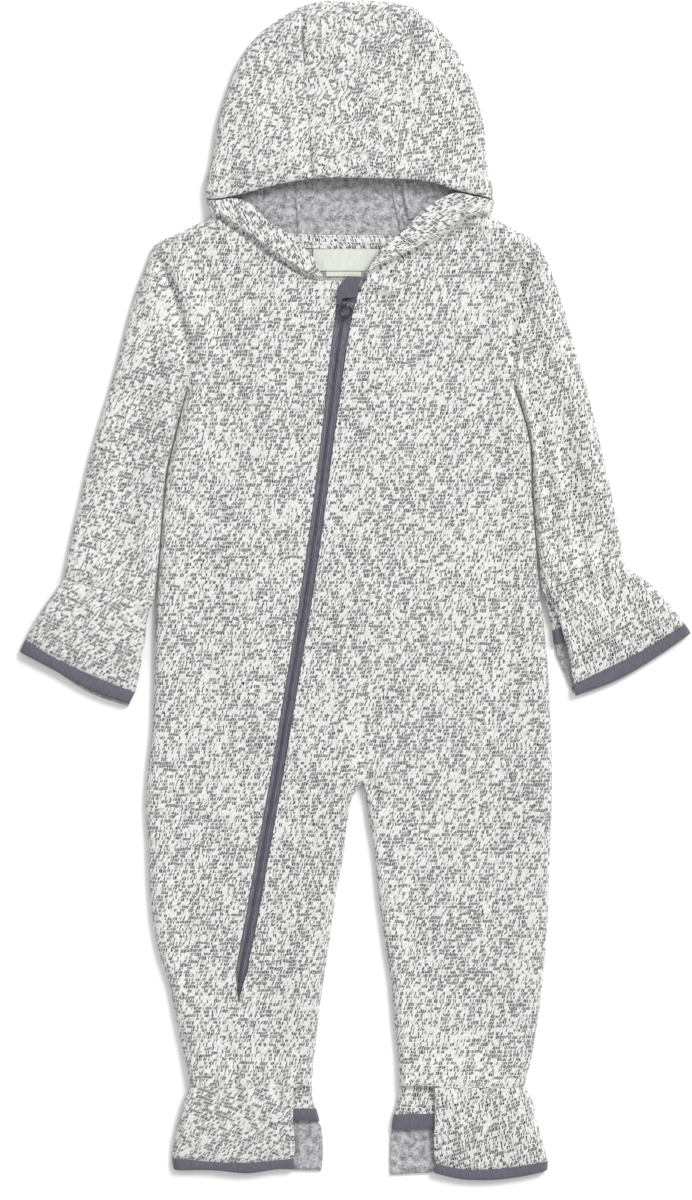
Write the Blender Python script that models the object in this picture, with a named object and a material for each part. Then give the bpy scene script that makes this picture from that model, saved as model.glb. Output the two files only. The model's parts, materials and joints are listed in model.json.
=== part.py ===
# Baby snowsuit: a hooded one-piece in knit-faced fleece with fold-over hand and foot covers,
# laid flat on its back. Sizes are in millimetres until each mesh is made, then metres.
# X runs to the viewer's right, Y towards the hood and Z up off the surface that it lies on.
# "left" and "right" are the viewer's. Cloth pieces are cut from one outer shell of the garment,
# given their wall inwards, and parted at the seams.
from math import cos, pi, sin

import bmesh
import bpy
import numpy as np

# Driving sizes
CLOTH = 2.4            # fleece wall
TAPE_SWELL = 0.3       # how far a binding stands proud of the cloth that it edges
TAPE_CROWN = 0.3       # and how far it rises along its middle
SEAM = 0.3             # left between pieces
SIDE_HEIGHT = 3.8      # where front and back meet along a side
SIDE_ROLL = 5.5        # how far in from a side the cloth has turned flat
FRONT_EDGE = 7.6       # top of the front just inside that turn
FRONT_MIDDLE = 5.7     # top of the front where it sags onto the back
FRONT_LOWEST = 5.3     # a trough goes no deeper
SAG_REACH = 34.0       # from a side to where the front lies on the back
HOOD_TOP = 10.0        # top of the hood's upper layer
HOOD_MOUTH = 15.0      # and at the middle of its face edge
BAND_RISE = 3.8        # the hood's lower bands above the front that they are sewn to
BAND_REACH = 7.0       # from the neck seam to a band's full height
COVER_TOP = 9.2        # top of a hand or foot cover at its gathers
COVER_HEM = 6.2        # and at its hem
COVER_DROP = 4.6       # how far a cover turns down at the side where it is sewn
SHORT_TOP = 5.4        # top of the short front layer under a cover
SHORT_SIDE = 2.8       # height and depth of the tight turn at its sides
GATHER_RISE = 28.0     # length over which the cloth swells up to its gathers
GATHER_STEP = 2.2      # across the step down from the gathers to the short layer
GATHER_WAVE = (0.8, 24.0)      # height and length of the gathers' waves
LAID_ON = 0.35         # clearance of what lies on the cloth

ANKLE = 68.0           # height of the ankle gathers above the foot hems
UNDERARM = 570.0
ZIP_END = 126.0

# Body outline, (x, y): down each side, and down each inseam from the crotch
SIDE = {
    "left": [(-117.5, 570), (-126, 534), (-131, 512.5), (-134.5, 480), (-137, 446.5), (-139.5, 414),
             (-141, 360), (-142.5, 324), (-145.5, 295), (-147, 273.5), (-145.5, 245), (-144.5, 216),
             (-142, 187), (-136, 158.5), (-131, 144), (-125, 115), (-119, 86.5), (-115, 68)],
    "right": [(118.5, 570), (123, 557), (126.5, 545), (129.8, 530), (131, 498), (133.5, 463.5), (136.5, 426),
              (141, 389), (144, 345.5), (145.5, 302), (145.5, 273.5), (144.5, 245), (143.5, 216),
              (142, 173), (139, 144), (135.5, 115), (130.5, 86.5), (126, 68)]}
INSEAM = {
    "left": [(8.6, 286), (2.5, 277), (-2, 257), (-5, 232), (-9.5, 209), (-14.5, 173), (-21, 130),
             (-26, 86.5), (-28, 68)],
    "right": [(8.6, 286), (11.5, 275), (13.7, 259), (17.3, 238), (21, 202), (25, 173), (29.5, 144),
              (32, 115), (35, 86.5), (36, 68)]}
CENTRE = [(28, 570), (20, 470), (11, 370), (8.6, 286)]      # where the right leg's front begins

# Shoulders from the neck to the armhole, and neck seams from the shoulder to the zip
SHOULDER = {
    "left": [(-101, 693), (-119.5, 684), (-135, 677), (-142, 672.5)],
    "right": [(101.5, 694), (119.5, 684), (132.5, 677), (136, 673)]}
NECK = {
    "left": [(-101, 693), (-95, 693), (-75, 680), (-51, 663.5), (-26, 649), (-19, 647.5)],
    "right": [(101.5, 694), (89, 692.5), (74, 684), (52, 671), (32, 662), (18, 654.5), (12, 649.5)]}
BACK_NECK = [(-101, 693), (-72, 685.5), (-37, 682), (0, 681), (37.5, 682), (72, 686), (101.5, 694)]
BACK_NECK_SEAMS = (0.32, 0.68)      # where the hood's back seams meet it, as shares of its length

# Zip: centre line (x, y) and half of the width that shows
ZIP = [(5.2, 648.5, 6.8), (0.2, 641, 7.0), (-2.6, 632, 6.7), (-5.2, 619, 6.1), (-8.2, 598, 5.8),
       (-13.6, 554.5, 5.1), (-17.2, 525.5, 4.7), (-24.5, 468, 4.7), (-33, 410.5, 4.6),
       (-42.5, 353, 4.6), (-52, 295, 4.6), (-62.3, 237.5, 4.7), (-72.4, 180, 4.6),
       (-78.2, 150, 4.2), (-79.6, 137, 1.9), (-80.6, ZIP_END, 0), (-79.5, 100, 0), (-77, ANKLE, 0)]

# Sleeves: armhole from the shoulder down, then outer and inner outline from there to the gathers
SLEEVE = {
    "left": {
        "armhole": [(-142, 672.5), (-133, 651.5), (-119.5, 607), (-116.5, 587), (-117.5, 570)],
        "outer": [(-142, 672.5), (-145.5, 662.5), (-151, 648), (-156, 633.5), (-163.5, 605),
                  (-170, 580), (-180, 547), (-188, 518.5), (-194.5, 489.5), (-201, 461), (-206, 435)],
        "inner": [(-117.5, 570), (-127, 534), (-132, 512.5), (-135.5, 480), (-138, 446.5), (-141, 418)]},
    "right": {
        "armhole": [(136, 673), (126, 651.5), (119.5, 633.5), (117.5, 598), (118.5, 570)],
        "outer": [(136, 673), (142, 662.5), (147.5, 648), (152.5, 633.5), (160.5, 605), (168, 579.5),
                  (176.5, 547), (183, 518.5), (189.5, 489.5), (195, 461), (198, 443)],
        "inner": [(118.5, 570), (124, 557), (127.5, 545), (130.8, 530), (132, 498), (134.5, 463.5),
                  (138, 427)]}}

# Past the gathers: the layers under each cover, (x, y) from the gathers to the full back hem.
# "short" gives the shares of that length where the short front layer and its binding end.
UNDER = {
    "wrist_left": {
        "outer": [(-203.8, 431.2), (-213.5, 418), (-221.5, 403.5), (-228, 392.5), (-231.8, 386)],
        "inner": [(-143.5, 416.3), (-147, 405), (-149, 389), (-153, 369), (-157, 350.5), (-160, 341.5)],
        "hem": [(-231.8, 386), (-213, 368), (-186, 350.5), (-160, 341.5)],
        "short": (0.45, 0.45)},
    "wrist_right": {
        "outer": [(195.9, 440.2), (210.8, 430), (225, 415.5), (237.5, 400.5), (241.5, 395)],
        "inner": [(138.6, 424.9), (141, 413.5), (146, 395.5), (147.5, 385), (155, 366), (161, 351)],
        "hem": [(241.5, 395), (221.5, 380), (190.5, 362), (161, 351)],
        "short": (0.39, 0.52)},
    "ankle_left": {
        "outer": [(-112.2, 65.8), (-119.5, 44.5), (-124.5, 21.5), (-125, 14.5), (-124, 9)],
        "inner": [(-27.5, 65.8), (-26.5, 57.5), (-22.5, 43), (-20, 21.5), (-21, 6.5)],
        "hem": [(-124, 9), (-75, 8.5), (-40, 7), (-21, 6.5)],
        "short": (0.25, 0.40)},
    "ankle_right": {
        "outer": [(123.2, 65.8), (127.5, 60), (131.7, 43), (136.7, 24), (139, 8.5)],
        "inner": [(35.7, 65.8), (35, 60), (31, 43), (29.5, 21.5), (29.5, 3.6)],
        "hem": [(139, 8.5), (97, 4), (61, 5), (29.5, 3.6)],
        "short": (0.31, 0.48)}}

# Covers: outer and inner side from the gathers to the binding, then the binding's two edges
COVER = {
    "wrist_left": {
        "outer": [(-206.4, 432), (-216, 419), (-225.5, 404.5), (-234, 389)],
        "inner": [(-141.5, 416), (-145.5, 405), (-147.5, 389), (-151, 369), (-155, 351)],
        "binding": [(-234, 389), (-213, 376), (-185, 363), (-155, 351)],
        "hem": [(-238, 380.5), (-214, 368), (-185, 352), (-159, 343)],
        "folded_drop": 0.8},
    "wrist_right": {
        "outer": [(198.5, 441), (213, 432), (227.5, 417.5), (241.3, 400.3)],
        "inner": [(138.7, 424.9), (149, 408), (152.5, 396.5), (157, 381.5), (161.5, 357)],
        "binding": [(241.3, 400.3), (207.5, 379.5), (184.5, 368), (161.5, 357)],
        "hem": [(245.5, 394), (223, 378.5), (191.5, 360), (162.5, 349)],
        "folded_drop": 0.4},
    "ankle_left": {
        "outer": [(-115.2, 66), (-117.8, 60), (-122.5, 44.5), (-127.5, 21.5), (-128.2, 15.5)],
        "inner": [(-40.5, 66), (-41, 45), (-41, 15)],
        "binding": [(-128.2, 15.5), (-103, 13), (-78, 12), (-41, 15)],
        "hem": [(-127, 7), (-97, 7), (-74, 5), (-50, 8), (-39.5, 8)],
        "folded_drop": 0.8},
    "ankle_right": {
        "outer": [(126.2, 66), (130.5, 59), (134.5, 43), (139.5, 24), (142.5, 13)],
        "inner": [(61, 66), (61, 45), (62, 11.5)],
        "binding": [(142.5, 13), (103, 7.5), (80.5, 7.5), (62, 11.5)],
        "hem": [(142, 6.5), (120, 2), (97, 0), (80.5, 0.7), (61, 5)],
        "folded_drop": 0.8}}

# Hood: each side's outline from the crown to the face edge's corner, then on to the neck
HOOD_SIDE = {
    "left": [(-35.5, 845.3), (-53, 835.5), (-70, 821), (-80, 806.5), (-86, 792), (-91, 777.5),
             (-95, 763), (-99.5, 734.5), (-104.5, 713), (-103.5, 706.5)],
    "right": [(47, 844.5), (57.5, 835.5), (71.5, 821), (80.5, 806.5), (87, 792), (92, 777.5),
              (96, 763), (98.5, 734.5), (103, 713), (103.5, 706.5)]}
HOOD_CORNER = {
    "left": [(-103, 704.8), (-102, 700), (-101, 693)],
    "right": [(104, 704.8), (103.5, 700), (101.5, 694)]}
CROWN = [(-35.5, 845.3), (-26, 848.5), (-6, 850), (14, 849.7), (34, 847.7), (47, 844.5)]
FRONT_SEAM = {      # from the crown to the face edge
    "left": [(-35.5, 845.3), (-33, 800), (-29.5, 755), (-27.5, 721)],
    "right": [(47, 844.5), (41, 800), (32, 755), (26, 721)]}
BACK_SEAM = {       # from the crown to a point just above the back neck
    "left": [(-35.5, 845.3), (-37, 780), (-37.5, 720)],
    "right": [(47, 844.5), (36, 780), (31, 720)]}
FACE_EDGE = {       # upper face edge, from its corner to the centre strip
    "left": [(-103.5, 706.5), (-93.5, 707), (-83.5, 709), (-73.5, 711.5), (-60, 715), (-45, 718.5),
             (-27.5, 721)],
    "right": [(103.5, 706.5), (89.5, 710), (74, 714), (60, 718.5), (37.5, 720.8), (26, 721)]}
FACE_EDGE_CENTRE = [(-27.5, 721), (-7, 721.6), (26, 721)]
BAND_EDGE = {       # lower face edge, from under that corner to the centre front
    "left": [(-103, 704.8), (-94, 705), (-83.5, 706.3), (-76, 704.5), (-60, 691), (-41, 678.2),
             (-26, 663)],
    "right": [(104, 704.8), (90, 707.5), (76, 710), (62, 704.5), (52, 697), (39, 684), (22.3, 669.6),
              (15.5, 659.5)]}

# Largest folds of the front: ends of the crease (x, y), its half width and its height
FRONT_FOLDS = [      # x0, y0, x1, y1, half width, height
    (-136, 660, -117, 588, 9, -1.2),
    (-128, 668, -107, 590, 14, 1.8),
    (-146, 655, -124, 585, 16, 1.6),
    (128, 662, 116, 600, 9, -1.2),
    (120, 668, 106, 600, 14, 1.8),
    (140, 650, 124, 585, 16, 1.6),
    (12, 647, 31, 641, 7, 1.8),
    (31, 641, 58, 655, 7, 1.5),
    (11, 292, 26, 268, 6, -1.6),
    (-20, 300, -60, 330, 18, 1.0),
    (30, 300, 75, 335, 18, 1.2)]
SLEEVE_FOLDS = {
    "left": [(-124, 560, -150, 450, 10, 0.8), (-150, 600, -178, 500, 16, 0.8)],
    "right": [(131, 594, 136, 545, 9, -1.0), (134, 545, 150, 462, 9, -1.0), (128, 560, 137, 480, 10, 1.4),
              (150, 600, 172, 500, 18, 1.0)]}

# Rows across the body, by height, and columns by share of a row, close where the cloth turns
TORSO_ROWS = [570, 543, 515, 485, 455, 425, 395, 365, 337, 313, 297, 289, 286]
LEG_ROWS = [286, 282, 272, 250, 220, 190, 165, 150, 137, 126, 108, 95, 80, 68]
ARMHOLE_FRONT = [0, .008, .028, .06, .18, .34, .5, .66, .82, .94, .972, .992, 1]
ARMHOLE_BACK = [0, .008, .028, .06, .32, .66, .94, .972, .992, 1]
SHOULDER_SHARES = [0, .6, .85, .95, 1]
NECK_SHARES = [0, .04, .09, .18, .31, .45, .59, .73, .87, 1]
LEFT_COLUMNS = [0, .007, .026, .055, .12, .19, .27, .36, .46, .56, .66, .76, .86, .94, 1]
MIDDLE_COLUMNS = [0, .4, .76, .93, .98, 1]
RIGHT_COLUMNS = [0, .008, .028, .07, .36, .7, .945, .985, 1]
BACK_COLUMNS = [0, .006, .022, .05, .2, .37, .54, .72, .87, .965, .99, 1]
SLEEVE_ROWS = [0, .05, .16, .3, .45, .6, .74, .86, .94, 1]
SHORT_ROWS = [0, .5, 1]
HEM_ROWS = [0, .34, .67, 1]
HOOD_ROWS = [0, .02, .05, .1, .18, .3, .44, .58, .72, .86, 1]
HOOD_SIDE_COLUMNS = [0, .015, .045, .085, .3, .62, 1]
HOOD_BACK_COLUMNS = [0, .015, .045, .085, .5, 1]
HOOD_CENTRE_COLUMNS = [0, .25, .5, .75, 1]
BAND_ROWS = [0, .3, .62, 1]
COVER_COLUMNS = [0, .012, .045, .09, .2, .31, .42, .53, .64, .75, .86, .96, 1]
COVER_ROWS = [0, .2, .42, .62, .8, 1]

# Zip parts
COIL_HALF = 0.9
TAPE_FLOOR = CLOTH + LAID_ON
TAPE_TOP = 4.8
COIL_TOP = 5.1
ZIP_ROWS = [643.5, 640, 636, 630, 622, 612, 598, 575, 550, 525, 495, 465, 435, 405, 375, 345, 315, 285,
            255, 225, 195, 170, 150, 142]
COIL_ROWS = ZIP_ROWS + [136, 132.5]
GARAGE = [(-1.5, 651), (8.6, 650.4), (6.4, 643.5), (3.2, 635.4), (-5.4, 634.8), (-7, 629.4),
          (-9.6, 631), (-9.8, 638.6), (-6.6, 645.5)]
GARAGE_FLOOR = 6.4
GARAGE_THICK = 1.2
SLIDER_AT = (-2.3, 627.4)
SLIDER_SIZE = (7.4, 10.4, 1.7)      # across, along and up
SLIDER_NOSE = 0.68                  # how far its lower end narrows
SLIDER_FLOOR = COIL_TOP + LAID_ON
ZIP_LEAN = 0.21                     # radians, the zip's slant at the slider
RING_RADIUS = 4.0
RING_TUBE = 1.0
BAIL_CLEAR = 0.45
BAIL_THICK = 1.0
BAIL_WIDTH = 1.7

# Neck tape and label, on the inside of the back
NECK_TAPE = [(-46, 10.0), (-23, 10.0), (0, 10.0), (21, 10.0), (42, 9.5)]      # x, depth
NECK_TAPE_THICK = 1.2
LABEL = ((-26.5, 655), (21, 670.6))      # lower left and upper right corner
LABEL_TAB = ((-17.5, 651), (8, 654.4))
LABEL_THICK = 0.6

MATERIALS = {      # colour, roughness, metallic
    "knit": ((0.62, 0.62, 0.61), 0.95, 0.0),
    "tape": ((0.115, 0.11, 0.14), 0.85, 0.0),
    "coil": ((0.07, 0.068, 0.09), 0.5, 0.0),
    "enamel": ((0.045, 0.048, 0.07), 0.35, 0.6),
    "label": ((0.78, 0.80, 0.70), 0.8, 0.0)}


# ---------------------------------------------------------------- lines and grids
def hermite(knots, values, wanted):
    """Smooth values at the wanted places of a line through values at rising knots."""
    slope = np.gradient(values, knots, axis=0)
    run = np.clip(np.searchsorted(knots, wanted, side="right") - 1, 0, len(knots) - 2)
    length = (knots[run + 1] - knots[run])[:, None]
    q = (wanted - knots[run])[:, None] / length
    return ((2 * q**3 - 3 * q**2 + 1) * values[run] + (q**3 - 2 * q**2 + q) * length * slope[run]
            + (3 * q**2 - 2 * q**3) * values[run + 1] + (q**3 - q**2) * length * slope[run + 1])


def along(line, shares):
    """Points of a smooth line at shares of its length."""
    line = np.array(line, float)
    knots = np.concatenate([[0], np.cumsum(np.linalg.norm(np.diff(line, axis=0), axis=1))])
    return hermite(knots, line, np.array(shares, float) * knots[-1])


def level(line, heights):
    """Points of a smooth line that runs down the page, at the given heights."""
    line = np.array(line, float)
    return hermite(-line[:, 1], line, -np.array(heights, float))


def between(shares, start, end):
    return start + (end - start) * np.array(shares, float)


def zip_edge(heights, sign):
    """The zip's left (-1) or right (+1) edge."""
    rows = level(ZIP, heights)
    half = np.interp(-np.array(heights, float), [-row[1] for row in ZIP], [row[2] for row in ZIP])
    return np.column_stack([rows[:, 0] + sign * half, rows[:, 1]])


def rungs(left, right, shares):
    """Grid of straight rows from left to right."""
    shares = np.array(shares, float)[None, :, None]
    return left[:, None] * (1 - shares) + right[:, None] * shares


def steps(first, second):
    """How far along its row or column each point lies, from two opposite edges."""
    total = np.zeros(len(first))
    for edge in (first, second):
        length = np.concatenate([[0], np.cumsum(np.linalg.norm(np.diff(edge, axis=0), axis=1))])
        if length[-1] > 1e-6:
            total += length / length[-1]
    return total / total[-1]


def patch(top, bottom, left, right):
    """Grid between four edges: rows from top to bottom, columns from left to right."""
    u = steps(top, bottom)[None, :, None]
    v = steps(left, right)[:, None, None]
    grid = ((1 - v) * top[None] + v * bottom[None] + (1 - u) * left[:, None] + u * right[:, None]
            - (1 - v) * ((1 - u) * top[0] + u * top[-1]) - v * ((1 - u) * bottom[0] + u * bottom[-1]))
    grid[0], grid[-1], grid[:, 0], grid[:, -1] = top, bottom, left, right
    return grid


def distance(points, line):
    """From each point to the nearest place of a line of straight runs."""
    start, run = line[:-1], np.diff(line, axis=0)
    part = ((points[..., None, :] - start) * run).sum(-1) / (run**2).sum(-1)
    near = start + np.clip(part, 0, 1)[..., None] * run
    return np.linalg.norm(points[..., None, :] - near, axis=-1).min(-1)


def eased(x):
    x = np.clip(x, 0, 1)
    return x * x * (3 - 2 * x)


def rounded(x):
    """Quarter of an ellipse, from 0 at the edge to 1."""
    return np.sqrt(1 - (1 - np.clip(x, 0, 1)) ** 2)


# ---------------------------------------------------------------- heights
DENSE = np.linspace(0, 1, 241)
ON_SIDE = 0.02         # nearer than this counts as on the side itself


def outline():
    """Every edge where the front turns down to meet the back."""
    lines = [along(CROWN, DENSE)]
    for side in ("left", "right"):
        for line in (SIDE[side], INSEAM[side]):
            lines.append(level(line, between(DENSE, line[0][1], line[-1][1])))
        lines += [along(SHOULDER[side], DENSE),
                  along(SLEEVE[side]["outer"], DENSE), along(SLEEVE[side]["inner"], DENSE),
                  along(HOOD_SIDE[side], DENSE), along(HOOD_CORNER[side], DENSE)]
    for under in UNDER.values():
        for edge in ("outer", "inner"):
            lines.append(along(under[edge], between(DENSE, 0, under["short"][1])))
    return lines


OUTLINE = outline()


def from_side(points):
    near = np.minimum.reduce([distance(points, line) for line in OUTLINE])
    return np.maximum(near - ON_SIDE, 0)


def folds(points, table):
    height = np.zeros(points.shape[:-1])
    for x0, y0, x1, y1, half, lift in table:
        far = distance(points, np.array([(x0, y0), (x1, y1)], float)) / half
        height += lift * eased(1 - far)
    return height


def waves(points, gather):
    """Gathers: waves along the gathered line that die away from it."""
    height, length = GATHER_WAVE
    place = ((points - gather["outer"]) * gather["run"]).sum(-1)
    away = ((points - gather["outer"]) * gather["into"]).sum(-1)
    wave = np.cos(2 * pi * place / length + 0.8) + 0.5 * np.cos(2 * pi * place / (0.62 * length) + 2.1)
    return 0.7 * height * wave * np.exp(-(away / 15) ** 2)


def gathered(points, top, gather):
    """Swell up to the gathers, then the step down to the short layer that the cover hides."""
    away = ((points - gather["outer"]) * gather["into"]).sum(-1)
    swell = eased(1 + away / GATHER_RISE)
    swollen = top + (COVER_TOP - top) * swell + waves(points, gather)
    return np.where(away > GATHER_STEP / 2, SHORT_TOP, swollen)


def gather_line(outer, inner, into):
    outer, inner = np.array(outer, float), np.array(inner, float)
    run = (inner - outer) / np.linalg.norm(inner - outer)
    across = np.array((-run[1], run[0]))
    return {"outer": outer, "run": run, "into": across * np.sign(across @ np.array(into, float))}


GATHER = {
    "wrist_left": gather_line((-206, 435), (-141, 418), (0, -1)),
    "wrist_right": gather_line((198, 443), (138, 427), (0, -1)),
    "ankle_left": gather_line((-115, ANKLE), (-28, ANKLE), (0, -1)),
    "ankle_right": gather_line((126, ANKLE), (36, ANKLE), (0, -1))}


def laid_top(points):
    """Top of the front, high beside its rounded sides and low in its middle."""
    sag = eased((from_side(points) - SIDE_ROLL) / (SAG_REACH - SIDE_ROLL))
    return FRONT_EDGE + (FRONT_MIDDLE - FRONT_EDGE) * sag


def front_top(points):
    top = np.maximum(laid_top(points) + folds(points, FRONT_FOLDS), FRONT_LOWEST)
    low = points[..., 1] < ANKLE + GATHER_RISE
    leg = np.where(points[..., :1] < 0, GATHER["ankle_left"]["outer"], GATHER["ankle_right"]["outer"])
    gather = {"outer": leg, "run": np.array((1.0, 0.0)), "into": np.array((0.0, -1.0))}
    return np.where(low, gathered(points, top, gather), top)


def sleeve_top(side):
    def top(points):
        height = laid_top(points) + folds(points, FRONT_FOLDS) + folds(points, SLEEVE_FOLDS[side])
        return gathered(points, np.maximum(height, FRONT_LOWEST), GATHER["wrist_" + side])
    return top


def hood_top(points):
    middle = distance(points, along(FACE_EDGE_CENTRE, DENSE))
    return HOOD_TOP + (HOOD_MOUTH - HOOD_TOP) * eased(1 - middle / 75)


def band_top(side):
    seam = along(NECK[side], DENSE)
    return lambda points: front_top(points) + BAND_RISE * eased(distance(points, seam) / BAND_REACH)


def side_form(grid, limb):
    """Height of the meeting line and depth of the turn at the sides, tight past the gathers."""
    if limb is None:
        return SIDE_HEIGHT, SIDE_ROLL
    gather = GATHER[limb]
    past = ((grid - gather["outer"]) * gather["into"]).sum(-1) > GATHER_STEP / 2
    return np.where(past, SHORT_SIDE, SIDE_HEIGHT), np.where(past, SHORT_SIDE, SIDE_ROLL)


def front_layer(grid, top=None, limb=None):
    side, roll = side_form(grid, limb)
    rise = side + ((top or front_top)(grid) - side) * rounded(from_side(grid) / roll)
    return np.dstack([grid, rise])


def back_layer(grid, limb=None):
    side, roll = side_form(grid, limb)
    return np.dstack([grid, side * (1 - rounded(from_side(grid) / roll))])


def cover_layer(grid, limb):
    """A cover on the layers under it: down at its sewn side, a little at its folded side."""
    cut, gather = COVER[limb], GATHER[limb]
    away = ((grid - gather["outer"]) * gather["into"]).sum(-1)
    depth = ((np.array(cut["hem"][1]) - gather["outer"]) * gather["into"]).sum()
    top = COVER_TOP + (COVER_HEM - COVER_TOP) * eased((away / depth - 0.5) / 0.5)
    sewn = along(cut["outer"] + cut["hem"][:1], DENSE)
    folded = along(cut["inner"] + cut["hem"][-1:], DENSE)
    drop = COVER_DROP * (1 - rounded(distance(grid, sewn) / SIDE_ROLL))
    drop += cut["folded_drop"] * (1 - rounded(distance(grid, folded) / 3))
    return np.dstack([grid, top + waves(grid, gather) - drop])


# ---------------------------------------------------------------- cloth
PINCHED = 0.45         # below this agreement of its faces, as at an underarm, sleeve and body part
BODY = ("front", "back")


class Shell:
    """Outer surface of cloth pieces that are sewn together, as quads that share their points."""

    def __init__(self):
        self.number, self.points, self.quads = {}, [], []

    def add(self, piece, grid, flip=False):
        ids = [[self.point(p) for p in row] for row in grid]
        for upper, lower in zip(ids, ids[1:]):
            for j in range(len(upper) - 1):
                quad = (upper[j], lower[j], lower[j + 1], upper[j + 1])
                quad = tuple(dict.fromkeys(quad[::-1] if flip else quad))
                if len(quad) > 2:
                    self.quads.append((piece, quad))

    def point(self, place):
        key = tuple(np.round(place, 3) + 0.0)
        if key not in self.number:
            self.number[key] = len(self.points)
            self.points.append(place)
        return self.number[key]

    def face_normal(self, quad):
        points = self.outer[list(quad)]
        turn = np.cross(points, np.roll(points, -1, axis=0)).sum(0)
        return turn / max(np.linalg.norm(turn), 1e-9)

    def normals(self, quads):
        """Mean normal at each point, and how well the faces round it agree, up to 1."""
        total, count = np.zeros_like(self.outer), np.zeros(len(self.outer))
        for quad in quads:
            total[list(quad)] += self.face_normal(quad)
            count[list(quad)] += 1
        length = np.linalg.norm(total, axis=1)
        return total / np.maximum(length, 1e-9)[:, None], length / np.maximum(count, 1)

    def build(self, materials, swell=None):
        """One closed wall for each piece, a seam's width from its neighbours."""
        self.outer = np.array(self.points)
        sewn, agree = self.normals([quad for _, quad in self.quads])
        owners = {}
        for piece, quad in self.quads:
            for edge in zip(quad, quad[1:] + quad[:1]):
                owners[edge] = piece
        for piece, material in materials.items():
            quads = [quad for name, quad in self.quads if name == piece]
            beside = BODY if piece in BODY else (piece,)
            own, _ = self.normals([quad for name, quad in self.quads if name in beside])
            normals = np.where(agree[:, None] < PINCHED, own, sewn)
            self.wall(piece, material, quads, normals, owners, (swell or {}).get(piece, 0))

    def wall(self, piece, material, quads, normals, owners, swell):
        edges = {edge: quad for quad in quads for edge in zip(quad, quad[1:] + quad[:1])}
        rim = [edge for edge in edges if edge[::-1] not in edges]
        inward, count = np.zeros_like(self.outer), np.zeros(len(self.outer))
        for start, end in rim:
            if (end, start) in owners:
                run = self.outer[end] - self.outer[start]
                side = np.cross(self.face_normal(edges[start, end]), run)
                inward[[start, end]] += side / np.linalg.norm(side)
                count[[start, end]] += 1
        spread = np.maximum((inward**2).sum(1), 1)
        shift = inward * (SEAM / 2 * count / spread)[:, None]
        used = sorted({corner for quad in quads for corner in quad})
        place = {corner: k for k, corner in enumerate(used)}
        outside = (self.outer + shift + normals * swell)[used]
        outside[:, 2] = np.maximum(outside[:, 2], 0)
        inside = (self.outer + shift - normals * CLOTH)[used]
        faces = [[place[c] for c in quad] for quad in quads]
        size = len(used)
        faces += [[size + k for k in reversed(face)] for face in faces]
        for a, b in rim:      # cut so that the two sides of a seam stay parallel
            corners = [place[b], place[a], size + place[a], size + place[b]]
            if a > b:
                faces += [corners[:3], [corners[0], *corners[2:]]]
            else:
                faces += [[*corners[:2], corners[3]], corners[1:]]
        solid(piece, material, np.vstack([outside, inside]), faces)


# ---------------------------------------------------------------- materials and solids
def material(name):
    found = bpy.data.materials.get(name)
    if found:
        return found
    made = bpy.data.materials.new(name)
    made.use_nodes = True
    colour, rough, metal = MATERIALS[name]
    shader = made.node_tree.nodes["Principled BSDF"]
    shader.inputs["Base Color"].default_value = (*colour, 1)
    shader.inputs["Roughness"].default_value = rough
    shader.inputs["Metallic"].default_value = metal
    made.diffuse_color = (*colour, 1)
    return made


def solid(name, finish, points, faces, smooth_below=0.9):
    """Named object from points in millimetres."""
    mesh = bpy.data.meshes.new(name)
    mesh.from_pydata([tuple(float(c) / 1000 for c in point) for point in points], [], faces)
    mesh.shade_smooth()
    mesh.set_sharp_from_angle(angle=smooth_below)
    own = material(finish).copy()
    own.name = name
    mesh.materials.append(own)
    made = bpy.data.objects.new(name, mesh)
    bpy.context.collection.objects.link(made)
    return made


def slab(name, finish, grid, floor, top):
    """Flat strip over a plan grid."""
    rows, columns = grid.shape[:2]
    flat = grid.reshape(-1, 2)
    count = len(flat)
    points = [(x, y, top) for x, y in flat] + [(x, y, floor) for x, y in flat]
    index = np.arange(count).reshape(rows, columns)
    faces = [[index[i, j], index[i + 1, j], index[i + 1, j + 1], index[i, j + 1]]
             for i in range(rows - 1) for j in range(columns - 1)]
    loop = [*index[:, 0], *index[-1, 1:], *index[-2::-1, -1], *index[0, -2:0:-1]]
    faces += [[count + k for k in reversed(face)] for face in faces]
    faces += [[b, a, count + a, count + b] for a, b in zip(loop, loop[1:] + loop[:1])]
    return solid(name, finish, points, [[int(k) for k in face] for face in faces])


# ---------------------------------------------------------------- the garment
def chest_front(shell):
    for side, sign in (("left", -1), ("right", 1)):
        heights = level(SLEEVE[side]["armhole"], [UNDERARM])[:, 1]
        armhole = along(SLEEVE[side]["armhole"], ARMHOLE_FRONT)
        shoulder = along(SHOULDER[side], SHOULDER_SHARES)[::-1]
        neck = along(NECK[side], NECK_SHARES)
        zip_top = NECK[side][-1][1] if side == "right" else 647.0
        zip_side = zip_edge(between(ARMHOLE_FRONT, zip_top, heights[0]), sign)
        top = np.vstack([shoulder, neck[1:]])
        if side == "left":
            bottom = rungs(level(SIDE["left"], [UNDERARM]), zip_edge([UNDERARM], -1), LEFT_COLUMNS)[0]
            shell.add("front", front_layer(patch(np.vstack([top, zip_side[:1]]), bottom, armhole,
                                                 zip_side)))
        else:
            zip_side[0] = neck[-1]
            top = top[::-1]
            middle = rungs(zip_edge([UNDERARM], 1), level(CENTRE, [UNDERARM]), MIDDLE_COLUMNS)[0]
            rest = rungs(level(CENTRE, [UNDERARM]), level(SIDE["right"], [UNDERARM]), RIGHT_COLUMNS)[0]
            shell.add("front", front_layer(patch(top, np.vstack([middle, rest[1:]]), zip_side, armhole)))


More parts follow.
